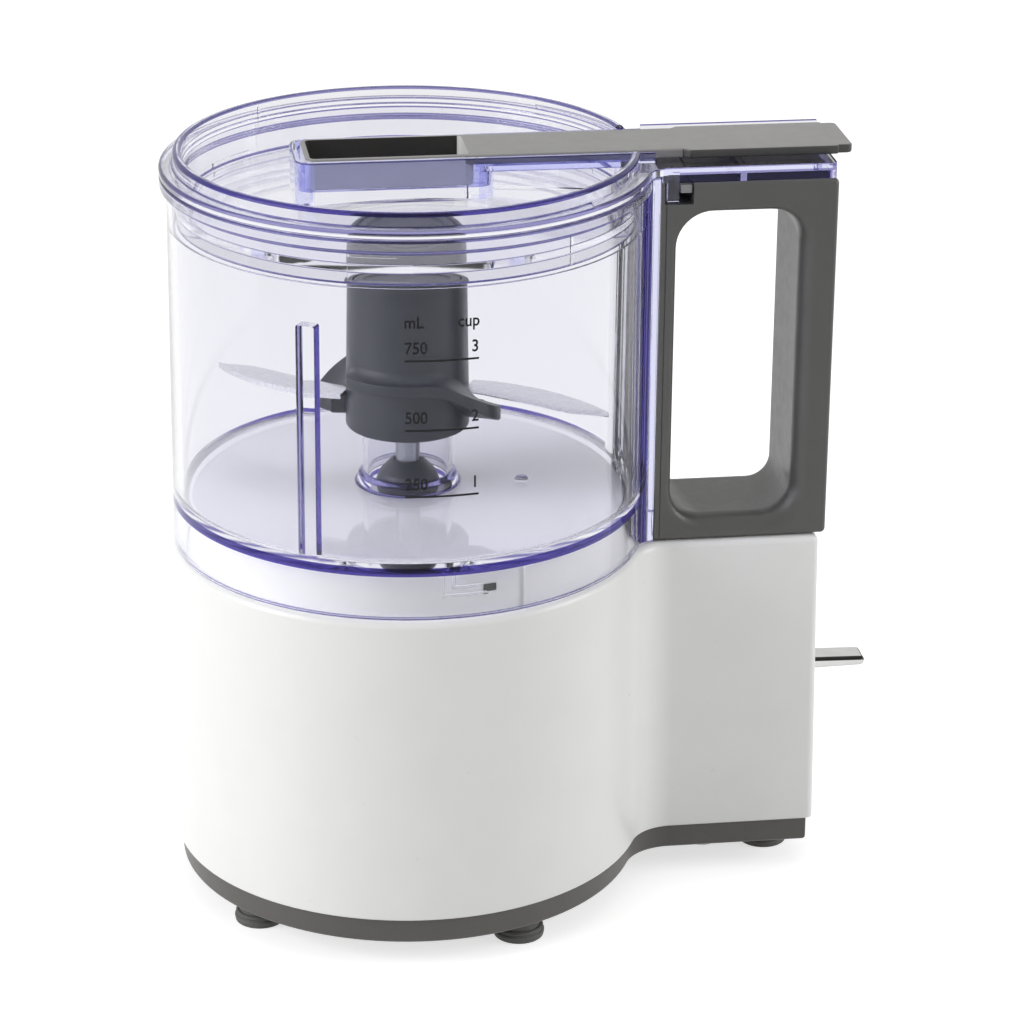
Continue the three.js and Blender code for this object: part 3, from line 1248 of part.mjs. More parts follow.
function lid() {
  const flangeTop = lidFlangeBottom + LID_FLANGE_HEIGHT;
  let body = turned([
    [0, LID_FLOOR_CENTRE - LID_FLOOR], [lidInner - 1, LID_FLOOR_EDGE - LID_FLOOR], [lidInner, LID_BOTTOM],
    [LID_SKIRT_RADIUS, LID_BOTTOM], [LID_SKIRT_RADIUS, lidFlangeBottom], [LIP_RADIUS, lidFlangeBottom],
    [LIP_RADIUS, flangeTop - 0.7], [LIP_RADIUS - 0.7, flangeTop], [LID_RIM_RADIUS, flangeTop],
    [LID_RIM_RADIUS, LID_TOP - 0.8], [LID_RIM_RADIUS - 0.8, LID_TOP], [LID_RIM_RADIUS - 1.7, LID_TOP],
    [LID_RIM_RADIUS - LID_WALL, LID_TOP - 0.8], [lidInner, LID_FLOOR_EDGE + 1],
    [lidInner - 1, LID_FLOOR_EDGE], [0, LID_FLOOR_CENTRE],
  ], { segments: BIG });

  for (const angle of LID_LUG_ANGLES) {
    const half = radians(LID_LUG_SWEEP / 2);
    const plan = [
      ...arc(0, 0, bowlRimInner - 1.5 * GAP, -half, half, 3),
      ...arc(0, 0, LID_SKIRT_RADIUS - 0.8, half, -half, 3),
    ];
    const piece = prism(plan, LID_BOTTOM + 1.3, LID_BOTTOM + 1.3 + LID_LUG_HEIGHT);
    body = body.add(piece.rotate([0, 0, angle]));
  }

  body = join(body, lidTail(), sleeve(), trough());
  body = cut(
    body,
    box(CHUTE_START, CHUTE_END, -CHUTE_HALF_WIDTH, CHUTE_HALF_WIDTH, LID_BOTTOM, LINER_SEAT + 1),
    sleeveCavity(),
    box(linerEnd - 1, BAR_WIDE_START, -sleeveInnerHalfWidth, sleeveInnerHalfWidth, troughTop, LID_TOP + 1),
    box(0, LID_RIM_RADIUS + 4, sleeveInnerHalfWidth, sleeveHalfWidth + 1, sleeveTop, LID_TOP + 1),
    box(0, LID_RIM_RADIUS + 4, -sleeveHalfWidth - 1, -sleeveInnerHalfWidth, sleeveTop, LID_TOP + 1),
  );
  return body;
}

/** The flat tail over the handle: a plate with a skirt, the interlock's hook and a bead behind the bar. */
function lidTail() {
  const half = HANDLE_HALF_WIDTH;
  const far = LIP_RADIUS + 1;
  const skirtEnd = box(HANDLE_START + 0.2, LID_TAIL_END + 5, -40, 40, LID_TAIL_BOTTOM, LID_TAIL_TOP);
  const plate = cut(
    prism(keyhole(lidPlan), lidFlangeBottom, LID_TAIL_TOP),
    cylinder(LID_SKIRT_RADIUS, lidFlangeBottom - 1, LID_TAIL_TOP + 1, { segments: BIG }),
    box(-far, LID_SKIRT_RADIUS - 20, -far, far, lidFlangeBottom - 1, LID_TAIL_TOP + 1),
  );
  const skirt = cut(
    prism(keyhole(lidPlan), LID_TAIL_BOTTOM, lidFlangeBottom + 1),
    prism(keyhole(lidPlan, LID_TAIL_WALL), LID_TAIL_BOTTOM - 1, lidFlangeBottom + 0.5),
  ).intersect(skirtEnd);
  const ribEnd = LID_RIB_X + LID_TAIL_WALL;
  const crossRib = box(LID_RIB_X, ribEnd, 1 - half, half - 1, LID_TAIL_BOTTOM, lidFlangeBottom + 1);
  const hookStart = ROD_X - ROD_THICKNESS / 2 + 0.4;
  const hook = box(
    hookStart, hookStart + HOOK_THICKNESS, -half, HOOK_WIDTH - half, LATCH_BOTTOM + 0.6, LID_TAIL_TOP - 1,
  );
  const bead = box(
    LIP_RADIUS, REAR_BEAD_END, half - REAR_BEAD_WALL, half, LID_TAIL_TOP - 1, REAR_BEAD_TOP,
  );
  return join(plate, skirt, crossRib, hook, bead);
}

/** The walls round the chute, standing on the lid's floor. */
function sleeve() {
  const plan = roundedPlan(SLEEVE_START, SLEEVE_END, sleeveHalfWidth, SLEEVE_CORNER);
  return prism(plan, LID_FLOOR_CENTRE - LID_FLOOR - 1.5, sleeveTop);
}

function sleeveCavity() {
  const plan = roundedPlan(
    SLEEVE_START + SLEEVE_WALL, SLEEVE_END - SLEEVE_WALL, sleeveInnerHalfWidth, SLEEVE_CORNER - SLEEVE_WALL,
  );
  return prism(plan, LINER_SEAT, LID_TOP + 1);
}

/** The shallow channel that carries the bar from the chute to the rim, on a thin web. */
function trough() {
  const end = LID_RIM_RADIUS + 3;
  return join(
    box(linerEnd, end, -sleeveHalfWidth, sleeveHalfWidth, troughTop - TROUGH_FLOOR, sleeveTop),
    box(linerEnd, LID_RIM_RADIUS - 1, -1, 1, LID_FLOOR_EDGE, troughTop),
  );
}

add('lid', lid(), 'clear');

// ---- bar with its chute liner

function lidBar() {
  const narrowEnd = BAR_WIDE_START + GAP;
  const wideStart = BAR_WIDE_START + 2;
  const frontEdge = [
    [linerEnd - 5, -linerHalfWidth], [narrowEnd, -linerHalfWidth],
    [wideStart, -BAR_HALF_WIDTH_WIDE], [BAR_WIDE_END, -BAR_HALF_WIDTH_WIDE],
    [BAR_WIDE_END, -TAB_HALF_WIDTH], [BAR_END, -TAB_HALF_WIDTH],
  ];
  const rearEdge = frontEdge.map(([x, y]) => [x, -y]).reverse();
  const plan = [...frontEdge, ...rearEdge];
  const liner = roundedPlan(linerStart, linerEnd, linerHalfWidth, LINER_CORNER);
  return cut(
    join(prism(plan, barBottom, BAR_TOP), prism(liner, LINER_SEAT + GAP, BAR_TOP)),
    box(CHUTE_START, CHUTE_END, -CHUTE_HALF_WIDTH, CHUTE_HALF_WIDTH, LINER_SEAT - 1, BAR_TOP + 1),
  );
}

add('lid_bar', lidBar(), 'grey');

// ---------------------------------------------------------------- place the origin

product.position.x = -(LEVER_TIP_X - BASE_RADIUS) / 2;

const assembly = new THREE.Group();
assembly.add(product);

export default assembly;
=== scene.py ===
"""Looks for the compact food processor: detailed pieces over the CAD frame, materials, light and camera.

Shapes are worked out in millimetres from the bowl's axis, and put into the frame's metres by to_frame().
Driving sizes are read from the CAD nodes' boxes, so every piece lies where its solid lies.
"""

import json
import math

import bmesh
import bpy
from mathutils import Matrix, Vector

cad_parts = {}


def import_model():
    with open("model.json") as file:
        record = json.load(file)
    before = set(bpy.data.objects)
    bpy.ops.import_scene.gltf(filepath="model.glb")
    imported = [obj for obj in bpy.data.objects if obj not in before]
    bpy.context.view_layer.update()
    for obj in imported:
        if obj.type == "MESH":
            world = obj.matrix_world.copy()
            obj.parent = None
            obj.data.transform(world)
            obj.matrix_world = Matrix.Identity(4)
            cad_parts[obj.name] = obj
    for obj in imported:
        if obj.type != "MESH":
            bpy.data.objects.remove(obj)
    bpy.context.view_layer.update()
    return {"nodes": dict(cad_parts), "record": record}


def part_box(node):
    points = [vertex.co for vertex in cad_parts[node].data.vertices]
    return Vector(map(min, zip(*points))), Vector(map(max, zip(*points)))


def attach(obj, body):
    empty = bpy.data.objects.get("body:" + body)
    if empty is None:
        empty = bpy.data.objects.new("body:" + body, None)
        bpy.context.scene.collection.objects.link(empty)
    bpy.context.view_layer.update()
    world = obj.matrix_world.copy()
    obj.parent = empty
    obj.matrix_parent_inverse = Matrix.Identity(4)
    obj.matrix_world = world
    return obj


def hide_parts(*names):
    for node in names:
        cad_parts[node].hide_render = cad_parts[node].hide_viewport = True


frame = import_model()

# ---------------------------------------------------------------- sizes read from the frame, in millimetres

MM = 0.001
GAP = 0.35
EDGE_FACE = 0.34  # narrower faces are edges, and take the fine line's painted violet shade
QUARTER = math.pi / 2

spindle_low, spindle_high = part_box("spindle")
AXIS_X = (spindle_low.x + spindle_high.x) / 2


class Box:
    """A CAD node's box in millimetres, with x measured from the bowl's axis."""

    def __init__(self, node):
        low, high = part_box(node)
        self.x0, self.x1 = (low.x - AXIS_X) / MM, (high.x - AXIS_X) / MM
        self.y0, self.y1 = low.y / MM, high.y / MM
        self.z0, self.z1 = low.z / MM, high.z / MM
        self.x = (self.x0 + self.x1) / 2
        self.y = (self.y0 + self.y1) / 2
        self.z = (self.z0 + self.z1) / 2


base = Box("base_housing")
plate = Box("bottom_plate")
bowl_box = Box("bowl")
handle_box = Box("handle")
lid_box = Box("lid")
bar_box = Box("lid_bar")
hub_box = Box("blade_hub")
cap_box = Box("hub_cap")
slider_box = Box("interlock_slider")
lever_box = Box("switch_lever")
pin_box = Box("lever_pin")
gland_box = Box("cord_gland")
boot_box = Box("spindle_boot")
plunger_box = Box("interlock_plunger")
blade_box = Box("blade_right")
FEET = ("foot_front_left", "foot_front_right", "foot_rear_left", "foot_rear_right", "foot_tail")

BASE_RADIUS = -base.x0
BASE_WALL = 2.6
BASE_TOP = plunger_box.z1
BASE_DRAFT = 0.013
TAIL_HALF_WIDTH = 19.2
TAIL_FILLET = 14
TAIL_CORNER = 2.2
TURRET_RADIUS = BASE_RADIUS - 6.0
TURRET_TOP = base.z1
PLATE_INSET = 1.7
PLATE_TOP = plate.z0 + 7.6
BASE_BOTTOM = PLATE_TOP + GAP
FOOT_STUD = 3.0
GLAND_RADIUS = 4.6
BUSH_RADIUS = 6.2
PLUNGER_RADIUS = 2.2
SPINDLE_RADIUS = 3.55
STRIP_ANGLES = (-66.9, -63.9)
STRIP_TOP = 118.6
PAD_ANGLES = (-77.6, -74.4)
PAD_HEIGHTS = (113.0, 115.2)

LIP_RADIUS = -bowl_box.x0
BOWL_RADIUS_BOTTOM = BASE_RADIUS - 1.2
BOWL_RADIUS_TOP = BOWL_RADIUS_BOTTOM - 0.7
BOWL_WALL = 2.3
BOWL_BOTTOM = bowl_box.z0
BOWL_RIM = bowl_box.z1
BOWL_FLOOR = 2.5
BOWL_FLOOR_TOP = TURRET_TOP + 0.8 + BOWL_FLOOR
BOWL_STEP = BOWL_RIM - 14
BOWL_STEP_DEPTH = 0.8
LIP_HEIGHT = 3.8
CHIMNEY_RADIUS = 12.95
CHIMNEY_WALL = 1.4
CHIMNEY_TOP = BOWL_FLOOR_TOP + 53.4
CHIMNEY_FOOT_RADIUS = 14.7
CHIMNEY_FOOT_HEIGHT = 2.6
GATE_MARK = (32.8, -3.6)
GATE_RADIUS = 3.3
GATE_TOP_RADIUS = 1.6
GATE_HEIGHT = 0.9
RIB_ANGLE = -121
RIB_WIDTH = 5.4
RIB_DEPTH = 4.0
RIB_TOP = BOWL_FLOOR_TOP + 66.9
BRIDGE_END = LIP_RADIUS - 0.25
BRIDGE_FILLET = 8
TONGUE_DEPTH = 2.6
TONGUE_WIDTH = 4
TONGUE_OFFSET = 10
TONGUE_BOTTOM = BOWL_BOTTOM + 5.85

HANDLE_START = handle_box.x0
HANDLE_END = handle_box.x1
HANDLE_TOP = handle_box.z1
HANDLE_HALF_WIDTH = handle_box.y1
HANDLE_EDGE = 1.3
HANDLE_CORNER = 1.4
WINDOW_START = HANDLE_START + 4.6
WINDOW_END = HANDLE_END - 10.2
WINDOW_BOTTOM = BOWL_BOTTOM + 6.45
WINDOW_TOP = HANDLE_TOP - 8.5
WINDOW_CORNER = 9.5
WINDOW_CORNER_REAR = 7.0
WINDOW_ROUNDS = ((1.6, 5.1, 5.1, 2.0), (1.6, 4.0, 6.0, 2.0))  # front and rear: start, end, bottom, top
SEAM_INSET = 1.3
SEAM_WIDTH = 0.35
SEAM_DEPTH = 0.3
TONGUE_TOP = WINDOW_TOP - 1.5
ROD_X = plunger_box.x
ROD_THICKNESS = 2.0
ROD_HALF_WIDTH = 3.9
LATCH_BOTTOM = HANDLE_TOP - 5.9
LATCH_END = ROD_X + 6.8
HOOK_THICKNESS = 3.2
HOOK_WIDTH = 2.3

LID_SKIRT_RADIUS = BOWL_RADIUS_TOP - BOWL_WALL + BOWL_STEP_DEPTH - 1.2
LID_WALL = 2.4
LID_BOTTOM = lid_box.z0
LID_TOP = lid_box.z1
LID_RIM_RADIUS = LID_SKIRT_RADIUS + 0.7
LID_FLANGE_BOTTOM = BOWL_RIM + GAP
LID_FLANGE_TOP = LID_FLANGE_BOTTOM + 2.15
LID_FLOOR = 2.0
LID_FLOOR_EDGE = LID_TOP - 15.1
LID_FLOOR_CENTRE = LID_TOP - 10.7
LID_LUG_ANGLES = (-102.6, 17.4, 137.4)
LID_LUG_SWEEP = 15.4
LID_LUG_HEIGHTS = (LID_BOTTOM + 1.3, LID_BOTTOM + 5.9)
ON_SKIRT = (LID_SKIRT_RADIUS - 0.3, LID_SKIRT_RADIUS + 0.4)
IN_RIM = (LID_RIM_RADIUS - LID_WALL - 0.4, LID_RIM_RADIUS - 0.6)
LID_TICKS = (  # name, inner and outer radius, start and end angle, bottom and top
    ("strip", *ON_SKIRT, -110.3, -98.8, 210.1, 210.7),
    ("stop_left", *ON_SKIRT, -90.4, -89.8, 202.8, 209.5),
    ("stop_right", *ON_SKIRT, -54.3, -53.7, 202.8, 211.5),
    ("seam", *IN_RIM, 126.6, 127.2, 208.5, LID_TOP - 1.5),
    ("seam_right", *IN_RIM, 74.0, 74.6, 209.0, 216.0),
)
LID_TAIL_BOTTOM = HANDLE_TOP + 0.4
LID_TAIL_TOP = LID_TAIL_BOTTOM + 4.4
LID_TAIL_END = HANDLE_END - 0.7
LID_TAIL_WALL = 1.8
LID_RIB_X = HANDLE_START + 22.4
REAR_BEAD_TOP = LID_TOP - 1.2
REAR_BEAD_WALL = 1.1

CHUTE_START = -27.8
CHUTE_END = 16.4
CHUTE_HALF_WIDTH = 9.5
LINER_WALL = 1.3
LINER_CORNER = 2.6
LINER_START = CHUTE_START - LINER_WALL
LINER_END = CHUTE_END + LINER_WALL
LINER_HALF_WIDTH = CHUTE_HALF_WIDTH + LINER_WALL
LINER_BOTTOM = bar_box.z0
LINER_SEAT = LINER_BOTTOM - GAP
SLEEVE_START = CHUTE_START - 4.3
SLEEVE_END = CHUTE_END + 6.9
SLEEVE_WALL = 1.5
SLEEVE_CORNER = 4.6
SLEEVE_INNER = LINER_HALF_WIDTH + 0.5
SLEEVE_HALF_WIDTH = SLEEVE_INNER + SLEEVE_WALL
BAR_TOP = bar_box.z1
BAR_BOTTOM = BAR_TOP - 2.65
BAR_WIDE_START = LIP_RADIUS + 7.1
BAR_HALF_WIDTH = bar_box.y1
BAR_WIDE_END = bar_box.x1 - 4.2
TAB_HALF_WIDTH = 11.4
TROUGH_TOP = BAR_BOTTOM - GAP
TROUGH_FLOOR = 1.4
SLEEVE_TOP = BAR_TOP - 0.4

HUB_TOP = hub_box.z1
HUB_BOTTOM = hub_box.z0
HUB_RADIUS_TOP = 16.9
HUB_RADIUS_BOTTOM = 17.8
HUB_BORE = CHIMNEY_RADIUS + 0.8
HUB_BORE_TOP = CHIMNEY_TOP + 2
CAP_RADIUS = cap_box.x1
SOCKET_RADIUS = 6.4
WING_ANGLES = (190, 352)
WING_TOP = HUB_BOTTOM + 18.0
WING_DROP = 11.0
WING_HEIGHTS = (3.4, 4.4)
WING_LEDGE = 3.2
WING_FLARE = 2.6
WING_REACH = 27.5
BLADE_HEIGHT = blade_box.z
BLADE_THICKNESS = blade_box.z1 - blade_box.z0
BLADE_ANGLE = -27.4
BLADE_REACH = BOWL_RADIUS_TOP - BOWL_WALL - 5.2
BLADE_STATIONS = (  # along the blade, then its rear and front edges, as shares of its reach
    (0.262, 0.208, 0.065), (0.36, 0.222, 0.058), (0.47, 0.218, 0.038),
    (0.6, 0.2, 0.012), (0.72, 0.165, -0.018), (0.83, 0.118, -0.04),
    (0.92, 0.066, -0.03), (0.97, 0.03, -0.014), (1, 0.004, -0.002),
)

LEVER_Z = pin_box.z
LEVER_PIVOT_X = pin_box.x
LEVER_TIP_X = lever_box.x1
LEVER_TAIL_X = lever_box.x0
LEVER_HALF_WIDTH = lever_box.y1
LEVER_THICKNESS = 3.6
LEVER_TAIL_THICKNESS = 2.3
LEVER_TIP_THICKNESS = 2.9
LEVER_TIP_CORNER = 1.35
LEVER_EDGE = 1.05
LEVER_HUB_RADIUS = 2.84
LEVER_BORE_RADIUS = 1.55
LEVER_TAPER = 16
LEVER_SLOT_HEIGHT = 6.4

SCALE_LEFT = -8.3
SCALE_RIGHT = 11.8
SCALE_LEVELS = (143.5, 162.5, 182.2)
SCALE_HEADING = 191.4
LETTER_SIZE = 4.7
LETTER_WEIGHT = 0.07
LETTER_SQUEEZE = 0.88
DIGIT_GAP = 2.0
INK_THICKNESS = 0.1
LINE_HALF = 0.28

# ---------------------------------------------------------------- mesh helpers


def radians(degrees):
    return degrees * math.pi / 180


def polar(radius, angle, z):
    return (radius * math.cos(angle), radius * math.sin(angle), z)


def arc(x, y, radius, start, end, steps):
    """Points on an arc, both ends included."""
    points = []
    for i in range(steps + 1):
        angle = start + (end - start) * i / steps
        points.append((x + radius * math.cos(angle), y + radius * math.sin(angle)))
    return points


def quadratic(start, pull, end, t):
    """A point on the curve that leaves start towards pull and arrives at end."""
    return tuple((1 - t) ** 2 * a + 2 * t * (1 - t) * b + t * t * c for a, b, c in zip(start, pull, end))


def smoothstep(value, low, high):
    t = min(max((value - low) / (high - low), 0), 1)
    return t * t * (3 - 2 * t)


def rounded(corners, closed=True, steps=5):
    """A polygon of (x, y, radius) corners with each corner turned into an arc of its radius."""
    points = []
    count = len(corners)
    for i, (x, y, radius) in enumerate(corners):
        inside = closed or 0 < i < count - 1
        if radius <= 0 or not inside:
            points.append((x, y))
            continue
        here = Vector((x, y))
        before = Vector(corners[i - 1][:2]) - here
        after = Vector(corners[(i + 1) % count][:2]) - here
        opening = before.angle(after)
        reach = radius / math.tan(opening / 2)
        middle = (before.normalized() + after.normalized()).normalized()
        centre = here + middle * (radius / math.sin(opening / 2))
        first = here + before.normalized() * reach - centre
        turn = (here + after.normalized() * reach - centre).angle_signed(first)
        for step in range(steps + 1):
            point = centre + Matrix.Rotation(turn * step / steps, 2) @ first
            points.append((point.x, point.y))
    return points


def shape(name, vertices, faces):
    """A new object from millimetre vertices, with its faces pointing out."""
    mesh = bpy.data.meshes.new(name)
    mesh.from_pydata([tuple(v) for v in vertices], [], faces)
    mesh.update()
    return tidy_mesh(linked(name, mesh))


def linked(name, data):
    """A new object in the scene."""
    thing = bpy.data.objects.new(name, data)
    bpy.context.scene.collection.objects.link(thing)
    return thing


def evaluated_mesh(thing):
    graph = bpy.context.evaluated_depsgraph_get()
    return bpy.data.meshes.new_from_object(thing.evaluated_get(graph))


def mesh_of(curve):
    """The mesh that a curve makes. The curve and its object are thrown away."""
    mesh = evaluated_mesh(linked(curve.name, curve))
    bpy.data.curves.remove(curve)
    return mesh


def tidy_mesh(piece):
    bm = bmesh.new()
    bm.from_mesh(piece.data)
    bmesh.ops.remove_doubles(bm, verts=bm.verts, dist=1e-4)
    bmesh.ops.dissolve_degenerate(bm, edges=bm.edges, dist=1e-5)
    bmesh.ops.recalc_face_normals(bm, faces=bm.faces)
    bm.to_mesh(piece.data)
    bm.free()
    return piece


def loft(name, rings, closed_ends=True):
    """A skin through rings of equally many points, with its ends filled or joined to each other."""
    size = len(rings[0])
    vertices = [point for ring in rings for point in ring]
    faces = []
    spans = len(rings) - 1 if closed_ends else len(rings)
    for ring in range(spans):
        low = ring * size
        high = (ring + 1) % len(rings) * size
        for i in range(size):
            j = (i + 1) % size
            faces.append((low + i, low + j, high + j, high + i))
    if closed_ends:
        faces.append(tuple(reversed(range(size))))
        faces.append(tuple(range((len(rings) - 1) * size, len(rings) * size)))
    return shape(name, vertices, faces)


def lathe(name, profile, steps=144, x=0, y=0):
    """A solid of revolution about an upright line, from a closed profile of (radius, height) points."""
    rings = []
    for i in range(steps):
        angle = 2 * math.pi * i / steps
        ring = [polar(radius, angle, z) for radius, z in profile]
        rings.append([(px + x, py + y, pz) for px, py, pz in ring])
    return loft(name, rings, closed_ends=False)


def prism(name, plan, z0, z1, soft=0.0, steps=3):
    """An upright prism over a convex or near-convex plan, its end edges rounded off by `soft`."""
    rings = []
    for inset, z in edge_steps(z0, z1, soft, soft, steps):
        rings.append([(px, py, z) for px, py in offset(plan, inset)])
    return loft(name, rings)


def edge_steps(z0, z1, low, high, steps):
    """(inset, height) pairs that round the lower and upper edges of an upright solid."""
    pairs = []
    for i in range(steps + 1):
        angle = QUARTER * i / steps
        if low > 0:
            pairs.append((low * (1 - math.sin(angle)), z0 + low * (1 - math.cos(angle))))
    if low <= 0:
        pairs.append((0, z0))
    if high <= 0:
        pairs.append((0, z1))
    for i in range(steps + 1):
        angle = QUARTER * i / steps
        if high > 0:
            pairs.append((high * (1 - math.cos(angle)), z1 - high * (1 - math.sin(angle))))
    return pairs


def offset(plan, inset):
    """A closed anticlockwise plan moved inwards by `inset` along its corner bisectors."""
    if inset == 0:
        return plan
    count = len(plan)
    result = []
    for i in range(count):
        before = Vector(plan[i]) - Vector(plan[i - 1])
        after = Vector(plan[(i + 1) % count]) - Vector(plan[i])
        first = Vector((-before.y, before.x)).normalized()
        second = Vector((-after.y, after.x)).normalized()
        middle = (first + second).normalized()
        stretch = inset / max(middle.dot(first), 0.3)
        point = Vector(plan[i]) + middle * stretch
        result.append((point.x, point.y))
    return result


def rectangle(x0, x1, y0, y1, corner=0.0, steps=5):
    return rounded([(x0, y0, corner), (x1, y0, corner), (x1, y1, corner), (x0, y1, corner)], steps=steps)


def block(name, x0, x1, y0, y1, z0, z1, soft=0.0, corner=0.0):
    return prism(name, rectangle(x0, x1, y0, y1, corner), z0, z1, soft)


def upright(name, radius, z0, z1, x=0, y=0, soft=0.0, steps=40):
    profile = rounded([(0, z0, 0), (radius, z0, soft), (radius, z1, soft), (0, z1, 0)])
    return lathe(name, profile, steps, x, y)


def boolean(piece, tool, operation):
    """Joins or cuts exactly, and throws the tool away."""
    modifier = piece.modifiers.new("cut", "BOOLEAN")
    modifier.operation = operation
    modifier.solver = "EXACT"
    modifier.object = tool
    mesh = evaluated_mesh(piece)
    piece.modifiers.clear()
    old = piece.data
    piece.data = mesh
    bpy.data.meshes.remove(old)
    bpy.data.meshes.remove(tool.data)
    tidy_mesh(piece)


def join(piece, *tools):
    for tool in tools:
        boolean(piece, tool, "UNION")
    return piece


def cut(piece, *tools):
    for tool in tools:
        boolean(piece, tool, "DIFFERENCE")
    return piece


def turn(piece, degrees, x=0, y=0):
    about = Matrix.Translation((x, y, 0)) @ Matrix.Rotation(radians(degrees), 4, "Z")
    piece.data.transform(about @ Matrix.Translation((-x, -y, 0)))
    return piece


def keyhole(radius, end, half, fillet, corner, inset=0.0, detail=120):
    """The plan that base, plate and lid share: a disc with a straight tail, inside corners filleted."""
    r, w, f = radius - inset, half - inset, fillet + inset
    c, x1 = max(corner - inset, 0.4), end - inset
    fillet_x = math.sqrt((r + f) ** 2 - (w + f) ** 2)
    touch = math.atan2(w + f, fillet_x)
    return (
        arc(fillet_x, -(w + f), f, math.pi - touch, QUARTER, 14)
        + arc(x1 - c, -w + c, c, -QUARTER, 0, 6)
        + arc(x1 - c, w - c, c, 0, QUARTER, 6)
        + arc(fillet_x, w + f, f, -QUARTER, touch - math.pi, 14)
        + arc(0, 0, r, touch, 2 * math.pi - touch, detail)[1:-1]
    )


def base_plan(inset=0.0):
    return keyhole(BASE_RADIUS, base.x1, TAIL_HALF_WIDTH, TAIL_FILLET, TAIL_CORNER, inset)


def draft(z):
    return 1 - BASE_DRAFT * (z - BASE_BOTTOM) / (BASE_TOP - BASE_BOTTOM)


def to_frame(piece, body, material, replaces=(), sharp=35):
    """Scales a finished piece into the frame, shades it, and hangs it on its body."""
    piece.data.transform(Matrix.Translation((AXIS_X, 0, 0)) @ Matrix.Scale(MM, 4))
    piece.data.polygons.foreach_set("use_smooth", [True] * len(piece.data.polygons))
    piece.data.set_sharp_from_angle(angle=radians(sharp))
    normals = piece.modifiers.new("normals", "WEIGHTED_NORMAL")
    normals.weight = 100
    normals.keep_sharp = True
    piece.data.materials.clear()
    piece.data.materials.append(material)
    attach(piece, body)
    if replaces:
        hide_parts(*replaces)
    return piece


def dress(piece, materials, choose):
    """Adds materials and picks one for each face by its centre, its normal and its width, in millimetres."""
    mesh = piece.data
    for material in materials:
        mesh.materials.append(material)
    for face in mesh.polygons:
        corners = [mesh.vertices[i].co / MM for i in face.vertices]
        around = sum((corners[i - 1] - corners[i]).length for i in range(len(corners)))
        width = 2 * face.area / MM ** 2 / around
        centre = sum(corners, Vector()) / len(corners)
        centre.x -= AXIS_X / MM
        face.material_index = choose(centre, face.normal, width)
    return piece


# ---------------------------------------------------------------- materials


def add_node(tree, kind, *values, **named):
    """A new shader node. Each input, by order or by name, takes a value or another node's output."""
    node = tree.nodes.new(kind)
    inputs = dict(enumerate(values)) | {key.replace("_", " "): value for key, value in named.items()}
    for key, value in inputs.items():
        if isinstance(value, bpy.types.NodeSocket):
            tree.links.new(value, node.inputs[key])
        else:
            node.inputs[key].default_value = value
    return node


class Finish:
    """A node material under construction, on one Principled shader."""

    def __init__(self, name, color, roughness, metallic=0.0):
        self.material = bpy.data.materials.new(name)
        self.material.use_nodes = True
        self.tree = self.material.node_tree
        self.nodes = self.tree.nodes
        self.links = self.tree.links
        self.shader = self.nodes["Principled BSDF"]
        self.shader.inputs["Base Color"].default_value = (*linear(color), 1)
        self.shader.inputs["Roughness"].default_value = roughness
        self.shader.inputs["Metallic"].default_value = metallic
        self.place = self.nodes.new("ShaderNodeTexCoord").outputs["Object"]

    def set(self, **values):
        for key, value in values.items():
            self.shader.inputs[key.replace("_", " ")].default_value = value
        return self

    def noise(self, scale, detail=3.0, stretch=(1, 1, 1)):
        vector = add_node(self.tree, "ShaderNodeMapping", Vector=self.place, Scale=stretch).outputs["Vector"]
        noise = add_node(self.tree, "ShaderNodeTexNoise", Vector=vector, Scale=scale, Detail=detail)
        return noise.outputs["Fac"]

    def spread(self, factor, low, high):
        node = add_node(
            self.tree, "ShaderNodeMapRange",
            Value=factor, From_Min=0.15, From_Max=0.85, To_Min=low, To_Max=high,
        )
        node.interpolation_type = "SMOOTHSTEP"
        return node.outputs["Result"]

    def vary_roughness(self, scale, low, high, stretch=(1, 1, 1)):
        uneven = self.spread(self.noise(scale, 3, stretch), low, high)
        self.links.new(uneven, self.shader.inputs["Roughness"])
        return self

    def vary_color(self, scale, first, second, stretch=(1, 1, 1)):
        mix = self.nodes.new("ShaderNodeMix")
        mix.data_type = "RGBA"
        ends = {"A": first, "B": second}
        for socket in mix.inputs:
            if socket.type == "RGBA":
                socket.default_value = (*linear(ends[socket.name]), 1)
        factor = self.spread(self.noise(scale, 4, stretch), 0, 1)
        self.links.new(factor, mix.inputs["Factor"])
        result = [socket for socket in mix.outputs if socket.type == "RGBA"][0]
        self.links.new(result, self.shader.inputs["Base Color"])
        return self

    def bump(self, scale, strength, distance, stretch=(1, 1, 1)):
        height = self.noise(scale, 4, stretch)
        bump = add_node(self.tree, "ShaderNodeBump", Strength=strength, Distance=distance, Height=height)
        self.links.new(bump.outputs["Normal"], self.shader.inputs["Normal"])
        return self

    def let_lamps_through(self, tint):
        """Glass that lamps shine through, so that what stands behind it is lit."""
        shadow = self.nodes.new("ShaderNodeLightPath").outputs["Is Shadow Ray"]
        pane = add_node(self.tree, "ShaderNodeBsdfTransparent", Color=(*tint, 1))
        return self.show("ShaderNodeMixShader", shadow, self.shader.outputs[0], pane.outputs[0])

    def show(self, kind, *values):
        """Puts a new shader node on the surface."""
        node = add_node(self.tree, kind, *values)
        self.links.new(node.outputs[0], self.nodes["Material Output"].inputs["Surface"])
        return self


def linear(color):
    """An sRGB colour as 0-255 numbers, in the linear values that Blender takes."""
    values = []
    for part in color:
        share = part / 255
        values.append(share / 12.92 if share <= 0.04045 else ((share + 0.055) / 1.055) ** 2.4)
    return values


